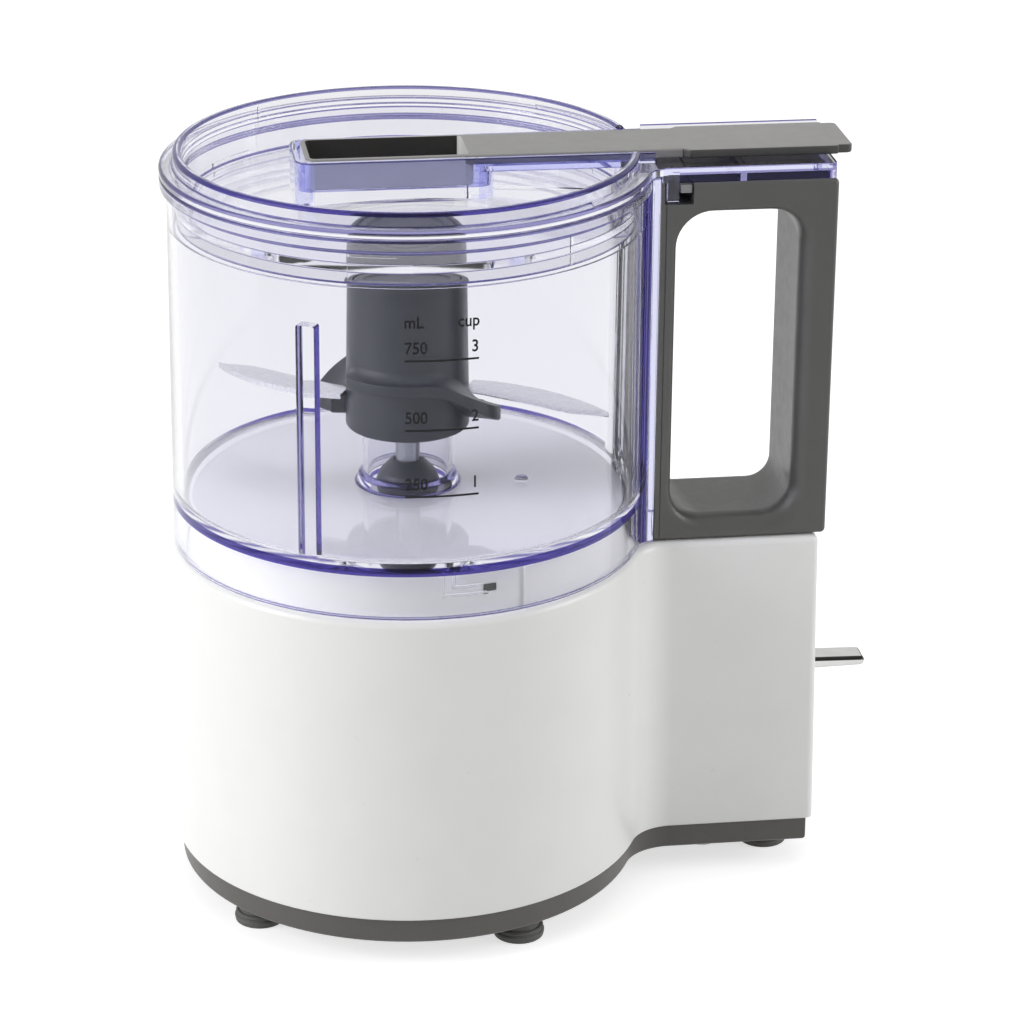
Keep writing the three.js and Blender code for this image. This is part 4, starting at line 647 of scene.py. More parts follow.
def moulded(name, color, second, roughness, grain):
    """An injection-moulded opaque plastic: a faint mottle, a fine grain and a slightly uneven gloss."""
    finish = Finish(name, color, roughness)
    finish.vary_color(70, color, second)
    finish.vary_roughness(300, roughness - 0.03, roughness + 0.04)
    return finish.bump(900, grain, 0.0004).material


def metal(name, color, second, roughness, stretch=(1, 1, 1), grain=0.08):
    finish = Finish(name, color, roughness, 1.0)
    finish.vary_color(180, color, second, stretch)
    finish.vary_roughness(260, roughness - 0.05, roughness + 0.08, stretch)
    return finish.bump(420, grain, 0.0002, stretch).material


def clear_plastic(name, tint, lamp_tint, mirror=0.22):
    """Clear copolyester, nearly colourless through a wall and violet where an edge gathers the light; violet
    and lavender copies of it are painted onto chosen faces as shade and light.
    """
    finish = Finish(name, tint, 0.02)
    finish.set(Transmission_Weight=1.0, IOR=1.5, Specular_Tint=(mirror, mirror, mirror, 1))
    finish.vary_roughness(70, 0.01, 0.035)
    finish.bump(30, 0.004, 0.0003)
    return finish.let_lamps_through(lamp_tint).material


white_plastic = moulded("white_plastic", (240, 240, 238), (237, 237, 235), 0.3, 0.03)
dark_plastic = moulded("dark_plastic", (78, 78, 75), (74, 74, 71), 0.38, 0.12)
plate_plastic = moulded("plate_plastic", (84, 81, 78), (79, 76, 73), 0.4, 0.12)
# painted shade: near-black for the chute's deep inner walls
chute_painted_shade = moulded("chute_painted_shade", (30, 28, 26), (26, 24, 22), 0.55, 0.1)
hub_plastic = moulded("hub_plastic", (46, 49, 57), (44, 47, 55), 0.36, 0.002)
grey_plastic = moulded("grey_plastic", (134, 133, 131), (129, 128, 126), 0.4, 0.1)
# painted shade: a dark copy of the bar's grey for its lip over the handle
lip_painted_shade = moulded("lip_painted_shade", (58, 58, 56), (54, 54, 52), 0.4, 0.1)
# painted light: a pale copy of the bar's grey for the liner's outside
liner_painted_light = moulded("liner_painted_light", (208, 209, 206), (204, 205, 202), 0.4, 0.05)
rubber = moulded("rubber", (92, 92, 88), (84, 84, 81), 0.6, 0.25)
nylon = moulded("nylon", (226, 221, 208), (214, 208, 195), 0.5, 0.15)
board = moulded("board", (44, 104, 66), (36, 88, 56), 0.5, 0.1)
ceramic = moulded("ceramic", (62, 62, 66), (50, 50, 54), 0.6, 0.3)
ink = moulded("ink", (10, 10, 12), (8, 8, 9), 0.9, 0.05)
# painted reflection: the chrome's near-black base colour stands for the dark surroundings it would mirror;
# the next material is its bright copy, a painted highlight
chrome = metal("chrome", (46, 46, 45), (38, 38, 38), 0.16, grain=0.02)
chrome_painted_highlight = metal("chrome_painted_highlight", (200, 200, 199), (190, 190, 189), 0.16, grain=0.02)
steel = metal("steel", (176, 178, 181), (160, 162, 166), 0.3)
blade_steel = metal("blade_steel", (218, 219, 224), (211, 212, 217), 0.26, (1, 18, 1))
brass = metal("brass", (186, 148, 84), (168, 130, 72), 0.34)
copper = metal("copper", (184, 108, 68), (160, 88, 54), 0.36, (1, 1, 14), 0.3)
clear = clear_plastic("clear_plastic", (246, 246, 250), (0.96, 0.96, 0.98))
# painted shade and light: deep violet, violet-line and lavender copies of the clear plastic, put onto faces
# by their width, place and facing
clear_edge_painted_shade = clear_plastic("clear_edge_painted_shade", (27, 20, 108), (0.6, 0.6, 0.85))
clear_line_painted_shade = clear_plastic("clear_line_painted_shade", (84, 80, 146), (0.85, 0.85, 0.92))
clear_tint_painted_light = clear_plastic("clear_tint_painted_light", (198, 200, 246), (0.94, 0.94, 0.98), 0.9)

# ---------------------------------------------------------------- base


def base_housing():
    """White shell with a soft top edge, a turret for the bowl, and the switch's slot."""
    rings = []
    for inset, z in edge_steps(BASE_BOTTOM, BASE_TOP, 0.5, 2.4, 6):
        scale = draft(z)
        rings.append([(x * scale, y * scale, z) for x, y in base_plan(inset)])
    shell = loft("base_shell", rings)
    cavity = prism("cavity", base_plan(BASE_WALL + 0.4), BASE_BOTTOM - 1, BASE_TOP - BASE_WALL)
    deck = TURRET_TOP - BASE_WALL
    turret = lathe("turret", rounded([
        (0, BASE_TOP - 1.2, 0), (TURRET_RADIUS, BASE_TOP - 1.2, 0),
        (TURRET_RADIUS, TURRET_TOP, 1.2), (0, TURRET_TOP, 0),
    ]))
    cut(shell, cavity)
    join(shell, turret)
    inner = TURRET_RADIUS - BASE_WALL
    cut(
        shell,
        upright("room", inner, BASE_TOP - 3.5, deck, steps=96),
        upright("bush_bore", BUSH_RADIUS + GAP, BASE_TOP - 5, TURRET_TOP + 1),
        upright("plunger_bore", PLUNGER_RADIUS + GAP, BASE_TOP - 5, BASE_TOP + 1, ROD_X),
    )
    half = LEVER_HALF_WIDTH + GAP
    low = LEVER_Z - LEVER_SLOT_HEIGHT / 2
    cut(shell, block(
        "slot", base.x1 - 6, base.x1 + 1, -half, half, low, low + LEVER_SLOT_HEIGHT, corner=0.01,
    ))
    cut(shell, at_gland(upright("gland_hole", GLAND_RADIUS + GAP, BASE_RADIUS - 8, BASE_RADIUS + 3)))
    strip_radii = (TURRET_RADIUS - 0.5, TURRET_RADIUS + 0.9)
    join(shell, sector("strip", *strip_radii, *STRIP_ANGLES, BASE_TOP - 0.5, STRIP_TOP))
    return to_frame(shell, "base", white_plastic, ["base_housing"])


def turret_pad():
    """A thin dark sheet on the turret's face, beside the bowl's hook."""
    radii = (TURRET_RADIUS + 0.02, TURRET_RADIUS + 0.3)
    pad = sector("turret_pad", *radii, *PAD_ANGLES, *PAD_HEIGHTS, 0.1)
    return to_frame(pad, "base", dark_plastic, ())


def bottom_plate():
    """Dark tray under the housing, with a soft lower edge and vents under the fan."""
    rings = []
    for inset, z in edge_steps(plate.z0, PLATE_TOP, 1.2, 0.3, 4):
        rings.append([(x, y, z) for x, y in base_plan(PLATE_INSET + inset)])
    tray = loft("bottom_plate_tray", rings)
    cut(tray, prism("hollow", base_plan(4.9), plate.z0 + 2.6, PLATE_TOP + 1))
    circuit = Box("circuit_board")
    for x in (circuit.x0 + 4, circuit.x1 - 4):
        join(tray, upright("board_post", 2.5, plate.z0 + 2.1, circuit.z0 - GAP, x))
    middle = Box("motor_shaft").x
    for slot in range(-3, 4):
        x = middle + slot * 6
        half = 16 - abs(slot) * 2.5
        cut(tray, block("vent", x - 1.5, x + 1.5, -half, half, plate.z0 - 1, plate.z0 + 4, corner=1.4))
    for name in FEET:
        place = Box(name)
        cut(tray, upright("stud_hole", FOOT_STUD + GAP, plate.z0 - 1, plate.z0 + 4, place.x, place.y))
    return to_frame(tray, "base", plate_plastic, ["bottom_plate"])


def foot(name):
    """A turned rubber foot: a soft pad, a waist and a stud."""
    place = Box(name)
    radius = (place.x1 - place.x0) / 2
    profile = rounded([
        (0, 0, 0), (radius * 0.62, 0, 0.3), (radius * 0.68, 0.5, 0.3), (radius * 0.8, 0.5, 0.3),
        (radius * 0.86, 0, 0.4), (radius - 0.3, 0, 0.6), (radius, 1.9, 0.6), (radius - 0.7, 2.3, 0.2),
        (radius - 0.3, 3.0, 0.3), (radius - 0.9, 3.6, 0.4), (6.0, 3.6, 0.3),
        (6.0, plate.z0 - GAP, 0.2), (FOOT_STUD, plate.z0 - GAP, 0.2), (FOOT_STUD, place.z1, 0.5),
        (0, place.z1, 0),
    ])
    rubber_foot = lathe(name + "_rubber", profile, 48, place.x, place.y)
    return to_frame(rubber_foot, "base", rubber, [name])


def cord_gland():
    """The ringed inlet where the lead would enter, at the rear."""
    wall = BASE_RADIUS * draft(gland_box.z)
    inner = wall - BASE_WALL
    radius = GLAND_RADIUS
    profile = rounded([
        (2.6, inner - 5.8, 0.2), (radius, inner - 5.8, 0.4), (radius, wall + 0.5, 0),
        (radius + 1.7, wall + 0.5, 0.3), (radius + 1.3, wall + 1.9, 0.6), (2.6, wall + 1.9, 0.5),
    ])
    gland = at_gland(lathe("cord_gland_ring", profile, 48))
    return to_frame(gland, "base", rubber, ["cord_gland"])


def at_gland(piece):
    """Lays an upright piece down so that it points outwards at the gland's place."""
    aim = Matrix.Rotation(math.atan2(gland_box.y, gland_box.x), 4, "Z") @ Matrix.Rotation(QUARTER, 4, "Y")
    piece.data.transform(Matrix.Translation((0, 0, gland_box.z)) @ aim)
    return piece


def spindle_boot():
    low = boot_box.z0
    radius = boot_box.x1
    bore = SPINDLE_RADIUS + GAP
    profile = rounded([
        (bore, low, 0), (radius, low, 0.4), (radius, low + 3.2, 2.5), (radius - 1.1, low + 6, 2.5),
        (radius - 3.2, low + 8.2, 1.5), (bore + 0.85, boot_box.z1 - 0.1, 0.4), (bore, boot_box.z1, 0),
    ])
    dome = lathe("spindle_boot_dome", profile, 64)
    return to_frame(dome, "base", hub_plastic, ["spindle_boot"])


def switch_lever():
    """Chromed paddle, thin as far as its pivot and thick beyond, with painted shade (the dark chrome) on its
    rounded upper edges only and a painted highlight (a bright chrome copy) on its other faces.
    """
    heights = [
        (LEVER_TAIL_X, LEVER_TAIL_THICKNESS / 2, 1), (LEVER_PIVOT_X + 2, LEVER_TAIL_THICKNESS / 2, 0),
        (LEVER_PIVOT_X + 4.5, LEVER_THICKNESS / 2, 0), (LEVER_TIP_X - LEVER_TAPER, LEVER_THICKNESS / 2, 0),
        (LEVER_TIP_X, LEVER_TIP_THICKNESS / 2, LEVER_TIP_CORNER),
    ]
    lower = [(x, LEVER_Z - height, corner) for x, height, corner in heights]
    upper = [(x, LEVER_Z + height, corner) for x, height, corner in reversed(heights)]
    paddle = side_prism("switch_lever_paddle", rounded(lower + upper), LEVER_HALF_WIDTH, LEVER_EDGE, 6)
    join(paddle, side_prism("hub", pivot_circle(LEVER_HUB_RADIUS, 28), LEVER_HALF_WIDTH, 0.2))
    cut(paddle, side_prism("bore", pivot_circle(LEVER_BORE_RADIUS, 24), LEVER_HALF_WIDTH * 2, 0))
    to_frame(paddle, "lever", chrome, ["switch_lever"])
    # painted shade and highlight: rounded upper faces keep the dark chrome, all other faces take the bright
    # copy
    return dress(paddle, [chrome_painted_highlight], lambda centre, normal, width: int(not 0.1 <= normal.z <= 0.95))


def pivot_circle(radius, steps):
    return arc(LEVER_PIVOT_X, LEVER_Z, radius, 0, 2 * math.pi, steps)[:-1]


def side_prism(name, side, half, soft, steps=4):
    """A prism lying along Y over a side view of (x, z) points, its end edges rounded off."""
    rings = []
    for inset, y in edge_steps(-half, half, soft, soft, steps):
        rings.append([(px, y, pz) for px, pz in offset(side, inset)])
    return loft(name, rings)


# ---------------------------------------------------------------- bowl


def bowl():
    """One clear moulding: wall, floor, chimney, rim, inner rib, bridge and tongues for the handle."""
    skirt_inner = TURRET_RADIUS + 1.4
    floor_bottom = BOWL_FLOOR_TOP - BOWL_FLOOR
    inner = BOWL_RADIUS_TOP - BOWL_WALL
    rim_inner = inner + BOWL_STEP_DEPTH
    chimney_inner = CHIMNEY_RADIUS - CHIMNEY_WALL
    foot_top = BOWL_FLOOR_TOP + CHIMNEY_FOOT_HEIGHT
    profile = rounded([
        (chimney_inner, floor_bottom, 0.3), (skirt_inner, floor_bottom, 0.8),
        (skirt_inner, BOWL_BOTTOM, 0.3), (BOWL_RADIUS_BOTTOM, BOWL_BOTTOM, 0.6),
        (BOWL_RADIUS_BOTTOM - 0.15, floor_bottom, 0), (BOWL_RADIUS_BOTTOM - 0.2, BOWL_FLOOR_TOP, 0),
        (BOWL_RADIUS_TOP, BOWL_STEP, 0), (BOWL_RADIUS_TOP, BOWL_RIM - LIP_HEIGHT, 0.8),
        (LIP_RADIUS, BOWL_RIM - LIP_HEIGHT + 0.6, 0.6), (LIP_RADIUS, BOWL_RIM, 0.7),
        (rim_inner, BOWL_RIM, 0.5), (rim_inner, BOWL_STEP, 0.3), (inner, BOWL_STEP, 0.3),
        (inner, BOWL_FLOOR_TOP, 2.4), (CHIMNEY_FOOT_RADIUS, BOWL_FLOOR_TOP, 0.8),
        (CHIMNEY_FOOT_RADIUS - 0.4, foot_top, 0.8), (CHIMNEY_RADIUS, foot_top + 0.8, 0.8),
        (CHIMNEY_RADIUS, CHIMNEY_TOP, 0.5), (chimney_inner, CHIMNEY_TOP, 0.5),
    ])
    vessel = lathe("bowl_vessel", profile, 180)
    rib = block(
        "rib", inner - RIB_DEPTH, inner + 1, -RIB_WIDTH / 2, RIB_WIDTH / 2, BOWL_FLOOR_TOP - 1, RIB_TOP,
        0.5, 0.9,
    )
    wedge = prism("bridge", bridge_plan(), BOWL_BOTTOM, BOWL_RIM, 0.4)
    half = TONGUE_WIDTH / 2
    for y in (-TONGUE_OFFSET, TONGUE_OFFSET):
        join(wedge, block(
            "tongue", BRIDGE_END - 1, BRIDGE_END + TONGUE_DEPTH, y - half, y + half,
            TONGUE_BOTTOM, TONGUE_TOP, 0.25, 0.5,
        ))
    low = BOWL_FLOOR_TOP - 0.2
    high = low + GATE_HEIGHT
    gate_side = [(0, low), (GATE_RADIUS, low), (GATE_TOP_RADIUS, high), (0, high)]
    gate = lathe("gate_mark", gate_side, 32, *GATE_MARK)
    join(vessel, turn(rib, RIB_ANGLE), wedge, gate, *skirt_lug(skirt_inner, floor_bottom))
    to_frame(vessel, "bowl", clear, ["bowl"], 30)
    rib_side = Vector((-math.sin(radians(RIB_ANGLE)), math.cos(radians(RIB_ANGLE)), 0))

    def zone(centre, normal, width):
        """Painted deep violet shade at the floor's rim, on one side of the rib and on the slanted faces by
        the handle, painted lavender light on the faces there that look straight to the front, and painted
        fine violet lines elsewhere.
        """
        away = math.hypot(centre.x, centre.y)
        if away > BOWL_RADIUS_TOP - 1 and floor_bottom < centre.z < BOWL_FLOOR_TOP:
            return 2
        on_rib = CHIMNEY_FOOT_RADIUS + 5 < away < inner - 0.2 and centre.z > BOWL_FLOOR_TOP + 2
        if on_rib and normal.dot(rib_side) > 0.3:
            return 2
        on_bend = centre.x > BOWL_RADIUS_TOP - 8 and BOWL_FLOOR_TOP < centre.z < BOWL_RIM - LIP_HEIGHT
        if on_bend and normal.y < -0.5 and normal.x > -0.3 and away > BOWL_RADIUS_TOP:
            return 2 if normal.y > -0.9 else 3
        if BOWL_BOTTOM + 1 < centre.z < floor_bottom or width > EDGE_FACE:
            return 0
        return 1

    return dress(vessel, [clear_line_painted_shade, clear_edge_painted_shade, clear_tint_painted_light], zone)


def sector(name, r0, r1, start, end, z0, z1, soft=0.0):
    """A curved block round the axis, from one angle to another in degrees."""
    first, last = radians(start), radians(end)
    steps = max(1, round((end - start) / 2))
    plan = arc(0, 0, r1, first, last, steps) + arc(0, 0, r0, last, first, steps)
    return prism(name, plan, z0, z1, soft)


def skirt_lug(skirt_inner, top):
    """The clear hook inside the skirt that turns in under the turret's edge."""
    radii = (TURRET_RADIUS + GAP, skirt_inner + 0.4)
    parts = (  # name, start and end angle, bottom and top
        ("lug_left", -88.2, -87.6, 113.0, top + 0.4),
        ("lug_right", -85.6, -85.0, 115.4, top + 0.4),
        ("lug_shelf", -85.8, -78.5, 115.2, 115.7),
        ("lug_foot", -88.4, -77.0, 112.8, 113.3),
    )
    return [sector(name, *radii, *place) for name, *place in parts]


def bridge_plan():
    """The clear wedge that blends the round wall into the handle's flat face."""
    radius = BOWL_RADIUS_TOP - 0.2
    centre_y = HANDLE_HALF_WIDTH + BRIDGE_FILLET
    centre_x = math.sqrt((radius + BRIDGE_FILLET) ** 2 - centre_y ** 2)
    touch = math.atan2(centre_y, centre_x)
    end_angle = math.acos((BRIDGE_END - centre_x) / BRIDGE_FILLET)
    back = radius - BOWL_WALL / 2
    return (
        arc(centre_x, -centre_y, BRIDGE_FILLET, math.pi - touch, end_angle, 10)
        + arc(centre_x, centre_y, BRIDGE_FILLET, -end_angle, touch - math.pi, 10)
        + arc(0, 0, back, touch, -touch, 24)
    )


# ---------------------------------------------------------------- handle and interlock slider


def filled_outline(name, loop, half, edge):
    """A plate standing along Y from a side view, with rounded edges."""
    curve = bpy.data.curves.new(name, "CURVE")
    curve.dimensions = "2D"
    curve.fill_mode = "BOTH"
    curve.extrude = half - edge
    curve.bevel_depth = edge
    curve.bevel_resolution = 5
    curve.offset = -edge
    spline = curve.splines.new("POLY")
    spline.points.add(len(loop) - 1)
    for point, (x, z) in zip(spline.points, loop):
        point.co = (x, z, 0, 1)
    spline.use_cyclic_u = True
    piece = linked(name, mesh_of(curve))
    piece.data.transform(Matrix.Rotation(QUARTER, 4, "X"))
    return tidy_mesh(piece)


def window():
    """The grip's window as a cutter, whose far side and lower side are rounded for the fingers."""
    depths = (-0.5, 0, 0.12, 0.45, 1, 1.7, 2.6, 3.6, 4.6, 5.2, 6.1)
    stations = [(-HANDLE_HALF_WIDTH + depth, depth, WINDOW_ROUNDS[0]) for depth in depths]
    stations += [(HANDLE_HALF_WIDTH - depth, depth, WINDOW_ROUNDS[1]) for depth in reversed(depths)]
    rings = []
    for y, depth, rounds in stations:
        near, far, low, high = [flare(depth, radius) for radius in rounds]
        corner = WINDOW_CORNER + 0.25 * (near + far + low + high) if y < 0 else WINDOW_CORNER_REAR
        side = rectangle(
            WINDOW_START - near, WINDOW_END + far, WINDOW_BOTTOM - low, WINDOW_TOP + high, corner, 10,
        )
        rings.append([(x, y, z) for x, z in side])
    return loft("window", rings)


def flare(depth, radius):
    """How far a rounded edge has drawn back at a depth below the face."""
    if depth >= radius:
        return 0
    return radius - math.sqrt(radius ** 2 - (radius - max(depth, 0)) ** 2)


def handle():
    """Dark closed handle with a rounded window, slotted for the bowl's tongues and the interlock."""
    start = HANDLE_START - 12
    outline = rectangle(start, HANDLE_END, BOWL_BOTTOM, HANDLE_TOP, HANDLE_CORNER, 10)
    grip = cut(filled_outline("handle_grip", outline, HANDLE_HALF_WIDTH, HANDLE_EDGE), window())
    rod_half = ROD_THICKNESS / 2 + GAP
    rod_side = ROD_HALF_WIDTH + GAP
    low = BOWL_BOTTOM - 1
    high = HANDLE_TOP + 1
    near = ROD_X - rod_half
    face = -HANDLE_HALF_WIDTH
    cut(
        grip,
        block("front", start - 9, HANDLE_START, -30, 30, low, high),
        upright("lip_room", LIP_RADIUS + GAP, BOWL_RIM - LIP_HEIGHT - GAP, high, steps=144),
        block("rod_room", near, ROD_X + rod_half, -rod_side, rod_side, low, high),
        block("latch_room", near, LATCH_END, face - 1, rod_side, LATCH_BOTTOM, high),
    )
    half = TONGUE_WIDTH / 2 + GAP
    end = BRIDGE_END + TONGUE_DEPTH + GAP
    groove = (TONGUE_BOTTOM - GAP, TONGUE_TOP + GAP)
    for y in (-TONGUE_OFFSET, TONGUE_OFFSET):
        cut(grip, block("groove", HANDLE_START - 1, end, y - half, y + half, *groove))
    seam = HANDLE_START + SEAM_INSET
    cut(grip, block("seam", seam, seam + SEAM_WIDTH, face - 1, face + SEAM_DEPTH, BOWL_BOTTOM, LATCH_BOTTOM))
    return to_frame(grip, "bowl", dark_plastic, ["handle"])


def interlock_slider():
    half = ROD_THICKNESS / 2
    low = slider_box.z1 - 2.4
    slider = block(
        "interlock_rod", ROD_X - half, ROD_X + half, -ROD_HALF_WIDTH, ROD_HALF_WIDTH,
        BOWL_BOTTOM + 5, slider_box.z1, 0.2, 0.3,
    )
    start = ROD_X + HOOK_THICKNESS - 0.1
    end = slider_box.x1
    join(
        slider,
        block("pin", ROD_X - half, ROD_X + half, -1.4, 1.4, slider_box.z0, BOWL_BOTTOM + 6, 0.2, 0.3),
        block("arm", ROD_X - half, end, -ROD_HALF_WIDTH, ROD_HALF_WIDTH, low, slider_box.z1, 0.2, 0.3),
        block("head", start, end, slider_box.y0, ROD_HALF_WIDTH, low, slider_box.z1, 0.2, 0.3),
    )
    to_frame(slider, "slider", grey_plastic, ["interlock_slider"])
    # painted shade: every face but the front takes the handle's dark plastic, for the shade of the pocket
    # the slider sits in
    return dress(slider, [dark_plastic], lambda centre, normal, width: int(normal.y > -0.7))


# ---------------------------------------------------------------- hub and blades


def wing(angle):
    """The moulded ledge that sweeps half way round the hub, sinks, and reaches out under a blade's root."""
    steps = 56
    back = HUB_BORE + 1.2
    ledge = HUB_RADIUS_BOTTOM + WING_LEDGE
    rings = []
    for i in range(steps + 1):
        t = i / steps
        at = radians(WING_ANGLES[0] + (WING_ANGLES[1] - WING_ANGLES[0]) * t)
        fall = smoothstep(t, 0.56, 0.97)
        top = WING_TOP - WING_DROP * fall
        bottom = top - WING_HEIGHTS[0] - (WING_HEIGHTS[1] - WING_HEIGHTS[0]) * fall
        swell = smoothstep(t, 0.52, 0.86) * (1 - 0.85 * smoothstep(t, 0.92, 1))
        start = HUB_RADIUS_BOTTOM + 0.2 + (WING_LEDGE - 0.2) * smoothstep(t, 0, 0.12)
        reach = start + (WING_REACH - ledge) * swell
        flare = 0.5 + WING_FLARE * smoothstep(t, 0, 0.16) * (1 + 0.9 * swell)
        wall = HUB_RADIUS_BOTTOM - 0.4
        lip = (reach - 0.4, top + 0.02)
        root = (wall, top + flare)
        bend = (wall + 0.18 * (reach - wall), top + 0.06 * flare)
        section = [
            (back, bottom), (reach - 0.5, bottom), (reach - 0.15, bottom + 0.15), (reach, bottom + 0.5),
            (reach, top - 0.4), (reach - 0.12, top - 0.1),
        ]
        section += [quadratic(lip, bend, root, i / 8) for i in range(9)]
        section.append((back, top + flare))
        rings.append([polar(r, at, z) for r, z in section])
    return turn(loft("wing", rings), angle)


def blade_rings(grow):
    half = BLADE_THICKNESS / 2 + grow
    edge = 0.12 + grow
    rings = []
    for i, (along, rear, front) in enumerate(BLADE_STATIONS):
        x = along * BLADE_REACH - (grow if i == 0 else 0)
        rear_y = rear * BLADE_REACH + grow
        front_y = front * BLADE_REACH - grow
        bevel_y = front_y + min(3.4, 0.45 * (rear_y - front_y))
        rings.append([
            (x, front_y, -edge), (x, bevel_y, -half), (x, rear_y, -half),
            (x, rear_y, half), (x, bevel_y, half), (x, front_y, edge),
        ])
    return rings


def blade_body(name, grow=0.0):
    return loft(name, [[(x, y, z + BLADE_HEIGHT) for x, y, z in ring] for ring in blade_rings(grow)])


def blade(name, angle, node):
    return to_frame(turn(blade_body(name), angle), "blade", blade_steel, [node], 20)


def blade_hub():
    seat = cap_box.z0 - GAP
    profile = rounded([
        (HUB_BORE, HUB_BOTTOM, 0.3), (HUB_RADIUS_BOTTOM, HUB_BOTTOM, 0.8), (HUB_RADIUS_TOP, HUB_TOP, 1.0),
        (CAP_RADIUS + GAP, HUB_TOP, 0.3), (CAP_RADIUS + GAP, seat, 0.2), (SOCKET_RADIUS + GAP, seat, 0.2),
        (SOCKET_RADIUS + GAP, HUB_BORE_TOP, 0.2), (HUB_BORE, HUB_BORE_TOP, 0.4),
    ])
    hub = lathe("blade_hub_body", profile, 96)
    for angle in (0, 180):
        join(hub, wing(angle))
    for angle in (0, 180):
        cut(hub, turn(blade_body("seat", GAP), BLADE_ANGLE + angle))
    return to_frame(hub, "blade", hub_plastic, ["blade_hub"], 32)


def hub_cap():
    low = cap_box.z0
    high = cap_box.z1
    profile = rounded([
        (0, low, 0), (CAP_RADIUS, low, 0.2), (CAP_RADIUS, high, 0.6), (CAP_RADIUS - 2.4, high, 0.2),
        (CAP_RADIUS - 3.0, high - 0.5, 0.2), (0, high - 0.5, 0),
    ])
    return to_frame(lathe("hub_cap_disc", profile, 96), "blade", hub_plastic, ["hub_cap"])


# ---------------------------------------------------------------- lid


def lid():
    """One clear moulding: recessed floor, skirt, flange, rim, lugs, tail, chute sleeve and trough."""
    inner = LID_SKIRT_RADIUS - LID_WALL
    profile = rounded([
        (0, LID_FLOOR_CENTRE - LID_FLOOR, 0), (inner - 1, LID_FLOOR_EDGE - LID_FLOOR, 0.5),
        (inner, LID_BOTTOM, 0.4), (LID_SKIRT_RADIUS, LID_BOTTOM, 0.6),
        (LID_SKIRT_RADIUS, LID_FLANGE_BOTTOM, 0.2),
        (LIP_RADIUS, LID_FLANGE_BOTTOM, 0.3), (LIP_RADIUS, LID_FLANGE_TOP, 0.9),
        (LID_RIM_RADIUS, LID_FLANGE_TOP, 0.4), (LID_RIM_RADIUS, LID_TOP, 1.1),
        (LID_RIM_RADIUS - LID_WALL, LID_TOP, 0.8), (inner, LID_FLOOR_EDGE, 0.5), (0, LID_FLOOR_CENTRE, 0),
    ])
    cover = lathe("lid_cover", profile, 180)
    half = radians(LID_LUG_SWEEP / 2)
    lug_end = BOWL_RADIUS_TOP - BOWL_WALL + BOWL_STEP_DEPTH - 1.5 * GAP
    lug_plan = arc(0, 0, lug_end, -half, half, 12) + arc(0, 0, LID_SKIRT_RADIUS - 0.8, half, -half, 12)
    for angle in LID_LUG_ANGLES:
        join(cover, turn(prism("lug", lug_plan, *LID_LUG_HEIGHTS, 0.1), angle))
    for tick in LID_TICKS:
        join(cover, sector(*tick))
    sleeve = prism(
        "sleeve", rounded_plan(SLEEVE_START, SLEEVE_END, SLEEVE_HALF_WIDTH, SLEEVE_CORNER),
        LID_FLOOR_CENTRE - LID_FLOOR - 1.5, SLEEVE_TOP, 0.4,
    )
    web = block("web", LINER_END, LID_RIM_RADIUS - 1, -1, 1, LID_FLOOR_EDGE, TROUGH_TOP)
    channel = block(
        "channel", LINER_END, LID_RIM_RADIUS + 3, -SLEEVE_HALF_WIDTH, SLEEVE_HALF_WIDTH,
        TROUGH_TOP - TROUGH_FLOOR, SLEEVE_TOP, 0.3,
    )
    join(cover, lid_tail(), sleeve, channel, web)
    cavity = prism(
        "sleeve_room",
        rounded_plan(
            SLEEVE_START + SLEEVE_WALL, SLEEVE_END - SLEEVE_WALL, SLEEVE_INNER, SLEEVE_CORNER - SLEEVE_WALL,
        ),
        LINER_SEAT, LID_TOP + 1,
    )
    reach = LID_RIM_RADIUS + 4
    above = LID_TOP + 1
    cut(
        cover,
        chute_block("opening", LID_BOTTOM, LINER_SEAT + 1, 1.6),
        cavity,
        block("bar_room", LINER_END - 1, BAR_WIDE_START, -SLEEVE_INNER, SLEEVE_INNER, TROUGH_TOP, above),
        block("step_rear", 0, reach, SLEEVE_INNER, SLEEVE_HALF_WIDTH + 1, SLEEVE_TOP, above),
        block("step_front", 0, reach, -SLEEVE_HALF_WIDTH - 1, -SLEEVE_INNER, SLEEVE_TOP, above),
    )
    to_frame(cover, "lid", clear, ["lid"], 30)
    ledge = TROUGH_TOP - TROUGH_FLOOR - 0.1

    def zone(centre, normal, width):
        """Painted deep violet shade on the rim, painted lavender light on the sleeve, the trough and the
        tail's front, and painted fine violet lines on edges, the tail's rib and its end.
        """
        away = math.hypot(centre.x, centre.y)
        if centre.z > LID_TOP - 1.3 and away > LID_RIM_RADIUS - 1.3:
            return 2
        if width < EDGE_FACE:
            return 1
        beside = abs(centre.y) < SLEEVE_HALF_WIDTH + 0.2
        in_sleeve = SLEEVE_START - 0.2 < centre.x < SLEEVE_END + 0.2 and centre.z > LID_FLOOR_CENTRE + 0.2
        in_trough = LINER_END < centre.x < LID_RIM_RADIUS + 3.1 and centre.z > ledge
        in_tail = centre.x > HANDLE_START
        in_rib = LID_RIB_X - 0.2 < centre.x < LID_RIB_X + LID_TAIL_WALL + 0.2 and abs(normal.z) < 0.9
        at_end = centre.x > LID_TAIL_END - 3 and normal.x > 0.5
        if in_tail and (in_rib or at_end):
            return 1
        return 3 if beside and (in_sleeve or in_trough) or in_tail and centre.y < 0 else 0

    return dress(cover, [clear_line_painted_shade, clear_edge_painted_shade, clear_tint_painted_light], zone)


def rounded_plan(x0, x1, half, corner):
    return rectangle(x0, x1, -half, half, corner, 8)


def chute_block(name, z0, z1, corner):
    """The chute's opening as a cutter."""
    return block(name, CHUTE_START, CHUTE_END, -CHUTE_HALF_WIDTH, CHUTE_HALF_WIDTH, z0, z1, 0, corner)


